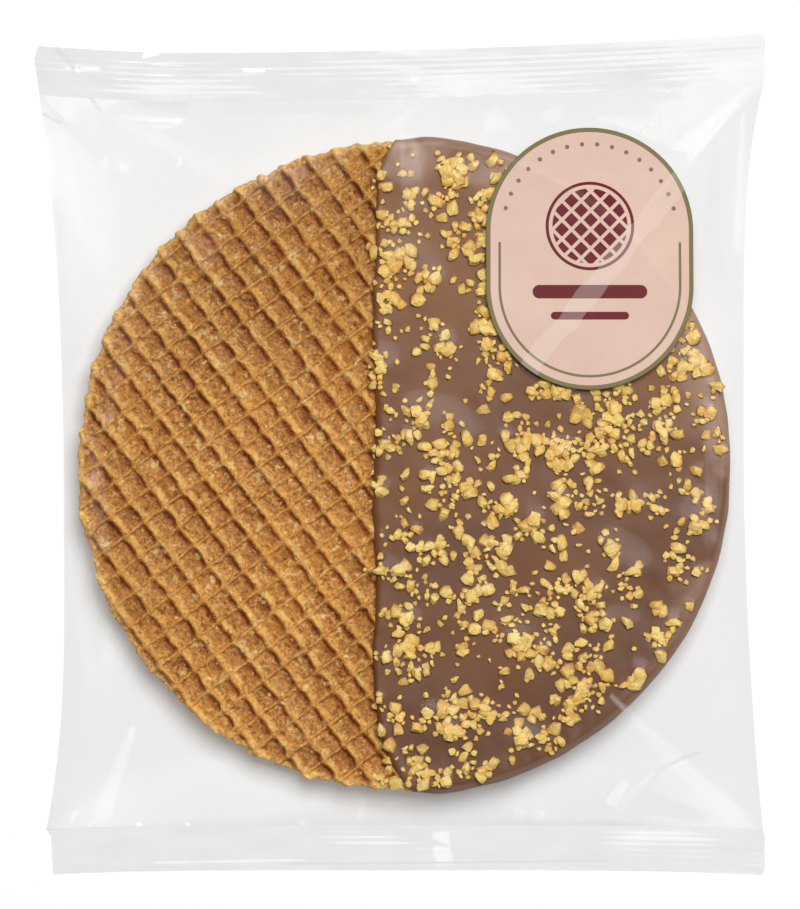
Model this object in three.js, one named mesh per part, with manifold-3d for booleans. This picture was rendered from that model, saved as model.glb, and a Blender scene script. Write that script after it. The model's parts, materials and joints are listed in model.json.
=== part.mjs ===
// A stroopwafel in its clear bag: a round waffle sandwich, one half dipped in chocolate and strewn
// with chopped nuts, sealed flat in film with crimped ends, and a sticker on the upper right.
// Units are millimetres. X runs across the bag, Y up along it and Z away from the table.
// The origin is on the table under the middle of the bag.

import * as THREE from "three";
import { mergeVertices } from "three/addons/utils/BufferGeometryUtils.js";
import Module from "manifold-3d";

// The wafer: its middle, the radius of the bare waffle and of the dipped side, and the heights.
const WAFER_X = 0.5;
const WAFER_Y = -2.2;
const WAFFLE_RADIUS = 62.6;
const DIPPED_RADIUS = 63.4;
const WAFFLE_LEVEL = 8.6;
const CHOCOLATE_LEVEL = 9.4;
const NUT_LEVEL = 11.2;

// The waffle iron's grid: square pits with narrow crests between them, turned on the round.
// Sizes across are along the grid's first direction, and sizes along it the second.
const GRID_TURN = THREE.MathUtils.degToRad(37);
const GRID_PITCH = 4.77;
const GRID_PHASE = { across: 0.395, along: 0.555 };
const PIT_OPENING = { across: 4.3, along: 4.25 };
const PIT_FLOOR = { across: 2.15, along: 2.8 };
const PIT_DEPTH = 1.2;
const PIT_UNEVENNESS = 0.3;
const PLAIN_RIM = 1.5;

// The dipping line, left of the wafer's middle, which bends away to the right at both ends.
const DIP_X = -4.8;
const DIP_BEND = 4.3;
const DIP_BEND_POWER = { up: 12, down: 6 };
const DIP_WAVE = { height: 0.3, rate: 0.19 };

// Chopped nuts, of which the larger ones are made here.
const NUT_COUNT = 84;
const NUT_REACH = { least: 1.3, most: 2.1 };
const NUT_SPACING = 3.4;

// The bag: the crimped seals, the folded sides between them, and the heights of both.
const SEAL_THICKNESS = 0.6;
const SEAL_DEPTH = { top: 9.4, bottom: 8.7 };
const SEAL_LEVEL = { corner: 1.3, middle: 2.8, wave: 0.25 };
const SEAL_BULGE = 0.7;
const SEAL_OVERLAP = 1.2;
const RIB_COUNT = 4;
const RIB_HEIGHT = 0.12;
const SIDES = {
  left: { waist: -64.5, waistY: -28, top: -69.9, bottom: -68.2, power: 3 },
  right: { waist: 66.2, waistY: 4, top: 69.9, bottom: 69.9, power: 2.4 },
};
const BAG_TOP = 81;
const TOP_SAG = { depth: 3.7, x: -40, halfSpan: 110 };
const BAG_BOTTOM = -81;
const BOTTOM_LIFT = 1;
const FOLD_LEVEL = 3.7;
const FOLD_LEVEL_HALF = 15;

// The film between the wafer's shoulder and the folds: round where it is short, hollow where long.
const SHOULDER = { inset: 0.9, drop: 0.25 };
const UPPER_BEND = { short: 0.7, long: 1.25, span: 30 };
const LOWER_BEND = 1.6;
const CREASE = { height: 0.9, halfWidth: 0.09 };
const RAYS = 19;

// The sticker: an upright stadium, on film that lies flat over the nuts below it.
const STICKER = { x: 36.5, y: 37.6, width: 39.8, height: 50.4, thickness: 0.25, gap: 0.3 };
const STICKER_LEVEL = 10.6;
const STICKER_BED = { margin: 1.2, depth: 3 };

const wasm = await Module();
wasm.setup();

const { clamp, lerp, smoothstep } = THREE.MathUtils;

// A seeded random number from 0 to 1, the same on every run.
function randomSource(seed) {
  let state = seed;
  return () => {
    state = (state + 0x6d2b79f5) | 0;
    let t = Math.imul(state ^ (state >>> 15), 1 | state);
    t = (t + Math.imul(t ^ (t >>> 7), 61 | t)) ^ t;
    return ((t ^ (t >>> 14)) >>> 0) / 4294967296;
  };
}

function geometryOf(points, triangles) {
  const geometry = new THREE.BufferGeometry();
  geometry.setAttribute("position", new THREE.Float32BufferAttribute(points.flat(), 3));
  geometry.setIndex(triangles);
  return geometry;
}

function solidOf(geometry) {
  const bare = geometry.clone();
  bare.deleteAttribute("normal");
  bare.deleteAttribute("uv");
  const merged = mergeVertices(bare, 1e-4);
  return new wasm.Manifold(
    new wasm.Mesh({
      numProp: 3,
      vertProperties: merged.attributes.position.array,
      triVerts: new Uint32Array(merged.index.array),
    }),
  );
}

function geometryFrom(solid) {
  const mesh = solid.getMesh();
  const geometry = new THREE.BufferGeometry();
  geometry.setAttribute("position", new THREE.BufferAttribute(mesh.vertProperties, mesh.numProp));
  geometry.setIndex(new THREE.BufferAttribute(mesh.triVerts, 1));
  geometry.computeVertexNormals();
  return geometry;
}

// A body wrapped in rings of equal length, closed by a point above the first and below the last.
// The lower half's quads are split the other way, so that a thin body's two faces run alike.
function ringBody(crown, rings, foot) {
  const count = rings[0].length;
  const points = [crown, ...rings.flat(), foot];
  const last = points.length - 1;
  const triangles = [];
  for (let i = 0; i < count; i++) {
    const at = (ring, step) => 1 + ring * count + ((i + step) % count);
    triangles.push(0, at(0, 0), at(0, 1));
    for (let ring = 0; ring + 1 < rings.length; ring++) {
      const [a, b, c, d] = [at(ring, 0), at(ring + 1, 0), at(ring + 1, 1), at(ring, 1)];
      if (2 * ring < rings.length - 1) triangles.push(a, b, c, a, c, d);
      else triangles.push(a, b, d, b, c, d);
    }
    triangles.push(last, at(rings.length - 1, 1), at(rings.length - 1, 0));
  }
  return geometryOf(points, triangles);
}

// A sheet of even thickness over a grid whose middle surface is at(u, v), u and v from 0 to 1.
function sheetBody(columns, rows, thickness, at) {
  const points = [];
  for (const side of [0.5, -0.5])
    for (let i = 0; i <= columns; i++)
      for (let j = 0; j <= rows; j++) {
        const [x, y, z] = at(i / columns, j / rows);
        points.push([x, y, z + side * thickness]);
      }
  const layer = (columns + 1) * (rows + 1);
  const upper = (i, j) => i * (rows + 1) + j;
  const lower = (i, j) => layer + upper(i, j);
  const triangles = [];
  const quad = (a, b, c, d) => triangles.push(a, b, c, a, c, d);
  for (let i = 0; i < columns; i++)
    for (let j = 0; j < rows; j++) {
      quad(upper(i, j), upper(i + 1, j), upper(i + 1, j + 1), upper(i, j + 1));
      quad(lower(i, j), lower(i, j + 1), lower(i + 1, j + 1), lower(i + 1, j));
    }
  for (let i = 0; i < columns; i++) {
    quad(upper(i, 0), lower(i, 0), lower(i + 1, 0), upper(i + 1, 0));
    quad(upper(i + 1, rows), lower(i + 1, rows), lower(i, rows), upper(i, rows));
  }
  for (let j = 0; j < rows; j++) {
    quad(upper(0, j + 1), lower(0, j + 1), lower(0, j), upper(0, j));
    quad(upper(columns, j), lower(columns, j), lower(columns, j + 1), upper(columns, j + 1));
  }
  return geometryOf(points, triangles);
}

// The bag's cut ends, and the inner edges of its seals, at x.
function topCut(x) {
  return BAG_TOP - TOP_SAG.depth * (1 - clamp((x - TOP_SAG.x) / TOP_SAG.halfSpan, -1, 1) ** 2);
}
function bottomCut(x) {
  return BAG_BOTTOM + BOTTOM_LIFT * (1 - (x / SIDES.right.top) ** 4);
}
const topSealEdge = (x) => topCut(x) - SEAL_DEPTH.top;
const bottomSealEdge = (x) => bottomCut(x) + SEAL_DEPTH.bottom;

// The folded side of the bag at y: narrow at the waist, as the wafer takes up width there.
function sideFold(side, y) {
  const end = y > side.waistY ? topSealEdge(side.top) : bottomSealEdge(side.bottom);
  const away = clamp((y - side.waistY) / (end - side.waistY), 0, 1);
  return lerp(side.waist, y > side.waistY ? side.top : side.bottom, away ** side.power);
}

function insideFolds(x, y) {
  if (y > topSealEdge(x) || y < bottomSealEdge(x)) return false;
  return x > sideFold(SIDES.left, y) && x < sideFold(SIDES.right, y);
}

const dipped = (angle) => WAFER_X + WAFFLE_RADIUS * Math.cos(angle) > DIP_X + DIP_BEND;
const rimRadius = (angle) => (dipped(angle) ? DIPPED_RADIUS : WAFFLE_RADIUS) - SHOULDER.inset;
const rimLevel = (angle) => (dipped(angle) ? CHOCOLATE_LEVEL : WAFFLE_LEVEL) - SHOULDER.drop;

// How far the folds and seals lie from the wafer's middle, in the direction of angle.
function outlineRadius(angle) {
  let near = DIPPED_RADIUS;
  let far = 1.8 * DIPPED_RADIUS;
  for (let step = 0; step < 30; step++) {
    const middle = (near + far) / 2;
    const x = WAFER_X + middle * Math.cos(angle);
    const y = WAFER_Y + middle * Math.sin(angle);
    if (insideFolds(x, y)) near = middle;
    else far = middle;
  }
  return near;
}

const sealLevel = (x) => lerp(SEAL_LEVEL.middle, SEAL_LEVEL.corner, (x / SIDES.right.top) ** 2);
function outlineLevel(x, y) {
  return lerp(FOLD_LEVEL, sealLevel(x), smoothstep(Math.abs(y), FOLD_LEVEL_HALF, topSealEdge(x)));
}

const CORNERS = [
  [SIDES.right.top, topSealEdge(SIDES.right.top)],
  [SIDES.left.top, topSealEdge(SIDES.left.top)],
  [SIDES.left.bottom, bottomSealEdge(SIDES.left.bottom)],
  [SIDES.right.bottom, bottomSealEdge(SIDES.right.bottom)],
].map(([x, y]) => Math.atan2(y - WAFER_Y, x - WAFER_X));

// Taut film rises to a crease on its way to each corner.
function crease(angle, reach) {
  const rise = CREASE.height * Math.sin(Math.PI * reach);
  return CORNERS.reduce((sum, corner) => {
    const off = Math.atan2(Math.sin(angle - corner), Math.cos(angle - corner));
    return sum + rise * Math.exp(-((off / CREASE.halfWidth) ** 2));
  }, 0);
}

// The upper film at the share reach of its way from the wafer's rim, at height rim, to the outline.
function upperFilm(angle, reach, rim) {
  const out = outlineRadius(angle);
  const edge = outlineLevel(WAFER_X + out * Math.cos(angle), WAFER_Y + out * Math.sin(angle));
  const spread = clamp((out - rimRadius(angle)) / UPPER_BEND.span, 0, 1);
  const power = lerp(UPPER_BEND.short, UPPER_BEND.long, spread);
  return edge + (rim - edge) * (1 - reach) ** power + crease(angle, reach);
}
function lowerFilm(angle, reach) {
  const out = outlineRadius(angle);
  const edge = outlineLevel(WAFER_X + out * Math.cos(angle), WAFER_Y + out * Math.sin(angle));
  return edge * reach ** LOWER_BEND;
}

function onRay(angle, reach, z) {
  const radius = lerp(rimRadius(angle), outlineRadius(angle), reach);
  return [WAFER_X + radius * Math.cos(angle), WAFER_Y + radius * Math.sin(angle), z];
}

// Film from the wafer's rim out to the folds and seals, above and below, with the wafer's body.
function filmAndWafer() {
  const angles = CORNERS.flatMap((start, k) => {
    const next = CORNERS[(k + 1) % CORNERS.length];
    const turn = (next - start + 2 * Math.PI) % (2 * Math.PI);
    return Array.from({ length: RAYS }, (_, i) => start + (turn * i) / RAYS);
  });
  const up = [0, 0.12, 0.35, 0.6, 0.85, 1];
  const down = [0.85, 0.55, 0.25, 0];
  const rings = [
    ...up.map((reach) => angles.map((a) => onRay(a, reach, upperFilm(a, reach, rimLevel(a))))),
    ...down.map((reach) => angles.map((a) => onRay(a, reach, lowerFilm(a, reach)))),
  ];
  const crown = [WAFER_X, WAFER_Y, WAFFLE_LEVEL - SHOULDER.drop];
  return ringBody(crown, rings, [WAFER_X, WAFER_Y, 0]);
}

// The waffle's top, raised a little above the film's rim, with a rounded shoulder. It reaches
// down past the pits' floors into the body below.
function waffleTop() {
  const root = WAFFLE_LEVEL - 3 * PIT_DEPTH;
  const profile = [
    [0, root],
    [WAFFLE_RADIUS - 2, root],
    [WAFFLE_RADIUS - SHOULDER.inset - 0.1, WAFFLE_LEVEL - SHOULDER.drop],
    [WAFFLE_RADIUS - SHOULDER.inset - 0.4, WAFFLE_LEVEL - SHOULDER.drop / 3],
    [WAFFLE_RADIUS - SHOULDER.inset - 1, WAFFLE_LEVEL],
    [0, WAFFLE_LEVEL],
  ].map(([radius, z]) => new THREE.Vector2(radius, z));
  const top = new THREE.LatheGeometry(profile, 4 * RAYS);
  return top.rotateX(Math.PI / 2).translate(WAFER_X, WAFER_Y, 0);
}

function dipLine(y) {
  const along = (y - WAFER_Y) / WAFFLE_RADIUS;
  const power = along > 0 ? DIP_BEND_POWER.up : DIP_BEND_POWER.down;
  const wave = DIP_WAVE.height * Math.sin(DIP_WAVE.rate * y);
  return DIP_X + wave + DIP_BEND * Math.min(1, Math.abs(along)) ** power;
}

// One pit as a tapered block, its opening just above the waffle and its floor a little askew.
function pitCorners(random) {
  const over = 0.05;
  const depth = PIT_DEPTH * (0.85 + PIT_UNEVENNESS * random());
  const askew = { across: PIT_UNEVENNESS * (random() - 0.5), along: PIT_UNEVENNESS * (random() - 0.5) };
  const ring = (share, shift, z) =>
    [[-1, -1], [1, -1], [1, 1], [-1, 1]].map(([a, b]) => [
      (a * lerp(PIT_FLOOR.across, PIT_OPENING.across, share)) / 2 + shift.across,
      (b * lerp(PIT_FLOOR.along, PIT_OPENING.along, share)) / 2 + shift.along,
      z,
    ]);
  return [...ring(0, askew, -depth), ...ring(1 + over / depth, { across: 0, along: 0 }, over)];
}

// Every pit of the grid that lies clear of the plain rim and of the chocolate.
function pits() {
  const random = randomSource(11);
  const across = new THREE.Vector2(Math.cos(GRID_TURN), Math.sin(GRID_TURN));
  const along = new THREE.Vector2(Math.sin(GRID_TURN), -Math.cos(GRID_TURN));
  const faces = [[0, 1, 2, 3], [7, 6, 5, 4], [0, 4, 5, 1], [1, 5, 6, 2], [2, 6, 7, 3], [3, 7, 4, 0]];
  const reach = Math.ceil(WAFFLE_RADIUS / GRID_PITCH) + 1;
  const points = [];
  const triangles = [];
  for (let i = -reach; i <= reach; i++)
    for (let j = -reach; j <= reach; j++) {
      const u = (i + 0.5 + GRID_PHASE.across) * GRID_PITCH;
      const v = (j + 0.5 + GRID_PHASE.along) * GRID_PITCH;
      const middle = across.clone().multiplyScalar(u).addScaledVector(along, v);
      const [x, y] = [WAFER_X + middle.x, WAFER_Y + middle.y];
      const inRim = middle.length() + 0.45 * GRID_PITCH < WAFFLE_RADIUS - PLAIN_RIM;
      if (!inRim || x > dipLine(y) + 0.3 * GRID_PITCH) continue;
      const first = points.length;
      for (const [a, b, z] of pitCorners(random))
        points.push([x + a * across.x + b * along.x, y + a * across.y + b * along.y, WAFFLE_LEVEL + z]);
      for (const [a, b, c, d] of faces) {
        triangles.push(first + a, first + b, first + c);
        triangles.push(first + a, first + c, first + d);
      }
    }
  return geometryOf(points, triangles);
}

// The chocolate on the dipped side, a little proud of the waffle and round at its edge.
function chocolate() {
  const steps = { line: 26, rim: 50 };
  const left = DIP_X + DIP_BEND - WAFER_X;
  const reach = Math.sqrt(DIPPED_RADIUS ** 2 - left ** 2);
  const line = Array.from({ length: steps.line }, (_, i) => {
    const y = WAFER_Y + reach - (2 * reach * i) / steps.line;
    return [dipLine(y), y];
  });
  const start = Math.atan2(-reach, left);
  const rim = Array.from({ length: steps.rim }, (_, i) => {
    const angle = start - (2 * start * i) / steps.rim;
    const radius = DIPPED_RADIUS - SHOULDER.inset;
    return [WAFER_X + radius * Math.cos(angle), WAFER_Y + radius * Math.sin(angle)];
  });
  const middle = [WAFER_X + 0.4 * DIPPED_RADIUS, WAFER_Y];
  const ring = (inset, drop) =>
    [...line, ...rim].map(([x, y]) => {
      const away = new THREE.Vector2(x - middle[0], y - middle[1]);
      away.setLength(away.length() - inset);
      return [middle[0] + away.x, middle[1] + away.y, CHOCOLATE_LEVEL - drop];
    });
  const root = CHOCOLATE_LEVEL - WAFFLE_LEVEL + 2 * PIT_DEPTH;
  const rings = [ring(0.7, 0), ring(0.25, 0.15), ring(0, 0.5), ring(0, root)];
  return ringBody([...middle, CHOCOLATE_LEVEL], rings, [...middle, CHOCOLATE_LEVEL - root]);
}

function inSticker(x, y, margin) {
  const radius = STICKER.width / 2;
  const straight = STICKER.height / 2 - radius;
  const dy = Math.max(0, Math.abs(y - STICKER.y) - straight);
  return Math.hypot(x - STICKER.x, dy) < radius + margin;
}

// One chip of nut: a broken block with uneven corners, at a random turn and size.
function nut(random, x, y) {
  const block = new THREE.BoxGeometry(1, 1, 1);
  block.deleteAttribute("normal");
  block.deleteAttribute("uv");
  const chip = mergeVertices(block, 1e-4);
  const corners = chip.attributes.position;
  for (let i = 0; i < corners.count; i++) {
    const grow = 0.7 + 0.6 * random();
    corners.setXYZ(i, corners.getX(i) * grow, corners.getY(i) * grow, corners.getZ(i) * grow);
  }
  const reach = lerp(NUT_REACH.least, NUT_REACH.most, random());
  const proud = (NUT_LEVEL - CHOCOLATE_LEVEL) * (0.6 + 0.4 * random());
  chip.rotateX(0.7 * random()).rotateY(0.7 * random());
  chip.computeBoundingBox();
  const size = chip.boundingBox.getSize(new THREE.Vector3());
  chip.scale((2 * reach) / size.x, (1.4 * reach) / size.y, (1.5 * proud) / size.z);
  chip.rotateZ(2 * Math.PI * random());
  chip.computeBoundingBox();
  return chip.translate(x, y, CHOCOLATE_LEVEL + proud - chip.boundingBox.max.z);
}

// Nuts strewn over the chocolate, clear of each other, of the rim and of the sticker's bed.
function nuts() {
  const random = randomSource(5);
  const most = NUT_REACH.most;
  const places = [];
  while (places.length < NUT_COUNT) {
    const x = WAFER_X + DIPPED_RADIUS * (2 * random() - 1);
    const y = WAFER_Y + DIPPED_RADIUS * (2 * random() - 1);
    const far = Math.hypot(x - WAFER_X, y - WAFER_Y);
    if (far > DIPPED_RADIUS - 2 * most || x < dipLine(y) + most) continue;
    if (inSticker(x, y, STICKER_BED.margin + most)) continue;
    if (places.some(([px, py]) => Math.hypot(x - px, y - py) < NUT_SPACING)) continue;
    places.push([x, y]);
  }
  return places.map(([x, y]) => nut(random, x, y));
}

// A stadium of film or paper that follows the bag: round the rim it bends down with the film.
// It reaches past the sticker's own edge by margin.
function stickerShape(margin, lift, thickness) {
  const radius = STICKER.width / 2;
  const straight = (STICKER.height - STICKER.width) / 2;
  const count = 40;
  const edge = Array.from({ length: count }, (_, i) => {
    const angle = (2 * Math.PI * (i + 0.5)) / count;
    const end = Math.sign(Math.sin(angle)) * straight;
    return [radius * Math.cos(angle), end + radius * Math.sin(angle)];
  });
  const level = (x, y) => {
    const angle = Math.atan2(y - WAFER_Y, x - WAFER_X);
    const from = rimRadius(angle);
    const far = Math.hypot(x - WAFER_X, y - WAFER_Y);
    const reach = clamp((far - from) / (outlineRadius(angle) - from), 0, 1);
    return upperFilm(angle, reach, STICKER_LEVEL) + lift;
  };
  const point = (x, y, down) => [x, y, level(x, y) - down];
  const ring = (share, down) =>
    edge.map(([x, y]) => point(STICKER.x + share * x, STICKER.y + share * y, down));
  const shares = [0.4, 0.7, 0.88, 1];
  if (margin) shares.push(1 + margin / radius);
  const rings = [
    ...shares.map((share) => ring(share, 0)),
    ...shares.toReversed().map((share) => ring(share, thickness)),
  ];
  const middle = [STICKER.x, STICKER.y];
  return ringBody(point(...middle, 0), rings, point(...middle, thickness));
}

// A crimped seal: ribbed along its length, low at the corners, its ends bulging a little.
function seal(side, from, to) {
  const rows = 2 * RIB_COUNT;
  return sheetBody(10, rows, SEAL_THICKNESS, (u, v) => {
    const bulge = SEAL_BULGE * Math.sin(Math.PI * v) * Math.sign(u - 0.5);
    const x = lerp(SIDES.left[side], SIDES.right[side], u) + (u === 0 || u === 1 ? bulge : 0);
    const wave = SEAL_LEVEL.wave * Math.sin(0.11 * x + SEAL_DEPTH[side]);
    const rib = Math.round(v * rows) % 2 ? RIB_HEIGHT : -RIB_HEIGHT;
    return [x, lerp(from(x), to(x), v), sealLevel(x) + wave + rib];
  });
}

function bagSolid() {
  const pieces = [
    seal("top", (x) => topSealEdge(x) - SEAL_OVERLAP, topCut),
    seal("bottom", bottomCut, (x) => bottomSealEdge(x) + SEAL_OVERLAP),
    chocolate(),
    stickerShape(STICKER_BED.margin, 0, STICKER_BED.depth),
    ...nuts(),
  ];
  const waffle = solidOf(filmAndWafer()).add(solidOf(waffleTop())).subtract(solidOf(pits()));
  return pieces.reduce((body, piece) => body.add(solidOf(piece)), waffle);
}

const bag = new THREE.Mesh(
  geometryFrom(bagSolid()),
  new THREE.MeshStandardMaterial({ color: 0xb4783f, roughness: 0.35, metalness: 0 }),
);
bag.name = "bag";

const label = new THREE.Mesh(
  stickerShape(0, STICKER.gap + STICKER.thickness, STICKER.thickness),
  new THREE.MeshStandardMaterial({ color: 0xe4c3b2, roughness: 0.4, metalness: 0 }),
);
label.name = "label";
label.geometry.computeVertexNormals();

const group = new THREE.Group();
group.add(bag, label);

export default group;
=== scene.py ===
"""A stroopwafel in its clear bag: two waffle rounds with syrup between them, the right half dipped
in milk chocolate and strewn with chopped nuts, film with crimped seals round it, and a sticker."""

import json
import math

import bmesh
import bpy
import numpy as np
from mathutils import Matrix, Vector
from mathutils.bvhtree import BVHTree
from mathutils.noise import noise as snoise

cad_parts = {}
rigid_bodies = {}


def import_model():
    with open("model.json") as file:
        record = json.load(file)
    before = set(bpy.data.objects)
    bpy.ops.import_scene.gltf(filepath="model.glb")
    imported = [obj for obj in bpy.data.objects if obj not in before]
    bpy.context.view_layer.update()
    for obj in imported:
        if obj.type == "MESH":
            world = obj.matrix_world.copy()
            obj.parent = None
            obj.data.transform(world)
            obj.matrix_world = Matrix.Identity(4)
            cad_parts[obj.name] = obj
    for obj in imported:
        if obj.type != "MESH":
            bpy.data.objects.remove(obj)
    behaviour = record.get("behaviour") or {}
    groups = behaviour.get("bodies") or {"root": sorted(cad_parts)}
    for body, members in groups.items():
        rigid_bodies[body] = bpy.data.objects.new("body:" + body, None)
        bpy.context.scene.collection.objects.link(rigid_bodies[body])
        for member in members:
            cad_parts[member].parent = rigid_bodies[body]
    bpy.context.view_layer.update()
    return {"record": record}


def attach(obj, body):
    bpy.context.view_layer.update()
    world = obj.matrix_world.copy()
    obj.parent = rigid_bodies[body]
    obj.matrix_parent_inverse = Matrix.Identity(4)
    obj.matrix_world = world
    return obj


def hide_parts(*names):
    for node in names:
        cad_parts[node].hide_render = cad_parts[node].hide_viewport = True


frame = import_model()


# Waffle rounds -----------------------------------------------------------------
# Two thin rounds baked in an iron with a square grid, the upper one with its pits up and the lower
# one with its pits down. A geometry node tree presses the pits and rounds the rim. Both stop just
# inside the chocolate, which holds the rest of the wafer.

MM = 0.001
wafer_x, wafer_y, _ = frame["record"]["mounts"][0]["pos_m"]
waffle_radius = 62.6 * MM
waffle_top = 8.6 * MM
waffle_bottom = 0.4 * MM
round_thickness = 3.6 * MM
grid_turn = math.radians(37)
grid_pitch = 4.77 * MM
grid_phase = (7 / 18, 8 / 18, 0)
pit_depth = 1.4 * MM
wall_steps = (0.25, 0.3, 0.45)
dip_x = -4.8 * MM
dip_bends = ((4.3 * MM, 12), (7.5 * MM, 10))


def dip_line(y):
    """X of the chocolate's edge at y, which bends to the right near both ends."""
    along = np.clip((np.asarray(y) - wafer_y) / waffle_radius, -1, 1)
    (top, top_power), (foot, foot_power) = dip_bends
    bend = np.maximum(along, 0) ** top_power * top + np.maximum(-along, 0) ** foot_power * foot
    return dip_x + 0.3 * MM * np.sin(0.19 * y / MM) + bend


def from_wafer(x, y):
    """Distance from the wafer's middle, seen from above."""
    return np.hypot(x - wafer_x, y - wafer_y)


def is_socket(value):
    return isinstance(value, bpy.types.NodeSocket)


def join(value, socket):
    """Links a socket to another, or sets it to a plain value."""
    if is_socket(value):
        socket.id_data.links.new(value, socket)
    else:
        socket.default_value = value


def node(kind, inputs=None, tree=None, **settings):
    """A new node, in this tree or else in the one that its inputs come from."""
    inputs = inputs or {}
    tree = tree or next(value.id_data for value in inputs.values() if is_socket(value))
    made = tree.nodes.new(kind)
    for name, value in settings.items():
        setattr(made, name, value)
    for key, value in inputs.items():
        join(value, made.inputs[key])
    return made


def first(kind, inputs=None, tree=None, **settings):
    """The first output of a new node."""
    return node(kind, inputs, tree, **settings).outputs[0]


def maths(operation, *values, clamp=False):
    values = dict(enumerate(values))
    return first("ShaderNodeMath", values, operation=operation, use_clamp=clamp)


def fold(operation):
    """A function that takes two values or more together, one after another."""

    def folded(value, *others):
        for other in others:
            value = maths(operation, value, other)
        return value

    return folded


plus, minus, times = fold("ADD"), fold("SUBTRACT"), fold("MULTIPLY")
larger, smaller = fold("MAXIMUM"), fold("MINIMUM")


def vectors(operation, *values, **named):
    values = dict(enumerate(values), **named)
    made = node("ShaderNodeVectorMath", values, operation=operation)
    return made.outputs["Value" if operation == "LENGTH" else "Vector"]


def combine(**parts):
    return first("ShaderNodeCombineXYZ", parts)


def split(vector):
    return tuple(node("ShaderNodeSeparateXYZ", {"Vector": vector}).outputs)


def ramp(value, low, high, start=0.0, end=1.0, smooth=False):
    """value from low..high taken to start..end, held at both ends."""
    kind = "SMOOTHSTEP" if smooth else "LINEAR"
    values = {"Value": value, "From Min": low, "From Max": high, "To Min": start, "To Max": end}
    return first("ShaderNodeMapRange", values, interpolation_type=kind)


def noise(vector, grain, detail=2.0, seed=0.0, roughness=0.5):
    """Noise from 0 to 1 with lumps of about grain metres."""
    scale = maths("DIVIDE", 1.0, grain) if is_socket(grain) else 1 / grain
    values = {"Vector": vector, "W": seed, "Scale": scale, "Detail": detail, "Roughness": roughness}
    return first("ShaderNodeTexNoise", values, noise_dimensions="4D")


def make_tree(name, **sockets):
    """An empty geometry node tree with inputs, given as kind of socket = "Name, Name"."""
    tree = bpy.data.node_groups.new(name, "GeometryNodeTree")
    tree.interface.new_socket("Geometry", in_out="OUTPUT", socket_type="NodeSocketGeometry")
    for kind, names in sockets.items():
        for socket in names.split(", "):
            tree.interface.new_socket(socket, in_out="INPUT", socket_type="NodeSocket" + kind)
    return tree, tree.nodes.new("NodeGroupInput").outputs


def end_tree(tree, geometry, material):
    dressed = {"Geometry": geometry, "Material": material}
    made = first("GeometryNodeSetMaterial", dressed)
    tree.links.new(made, tree.nodes.new("NodeGroupOutput").inputs[0])
    return tree


def grow(name, tree, values):
    """Runs a tree with these input values and returns its result as a plain mesh object."""
    source = bpy.data.objects.new(name, bpy.data.meshes.new(name))
    bpy.context.scene.collection.objects.link(source)
    modifier = source.modifiers.new(tree.name, "NODES")
    modifier.node_group = tree
    for item in tree.interface.items_tree:
        if item.in_out == "INPUT" and item.name in values:
            modifier[item.identifier] = values[item.name]
    depsgraph = bpy.context.evaluated_depsgraph_get()
    mesh = bpy.data.meshes.new_from_object(source.evaluated_get(depsgraph))
    source.modifiers.clear()
    source.data = mesh
    mesh.name = name
    return source


def finish_piece(piece, replaced=None):
    """Smooth faces, the piece's body and the CAD node that it stands for."""
    piece.data.polygons.foreach_set("use_smooth", [True] * len(piece.data.polygons))
    piece.data.update()
    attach(piece, "root")
    if replaced:
        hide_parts(replaced)


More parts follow.
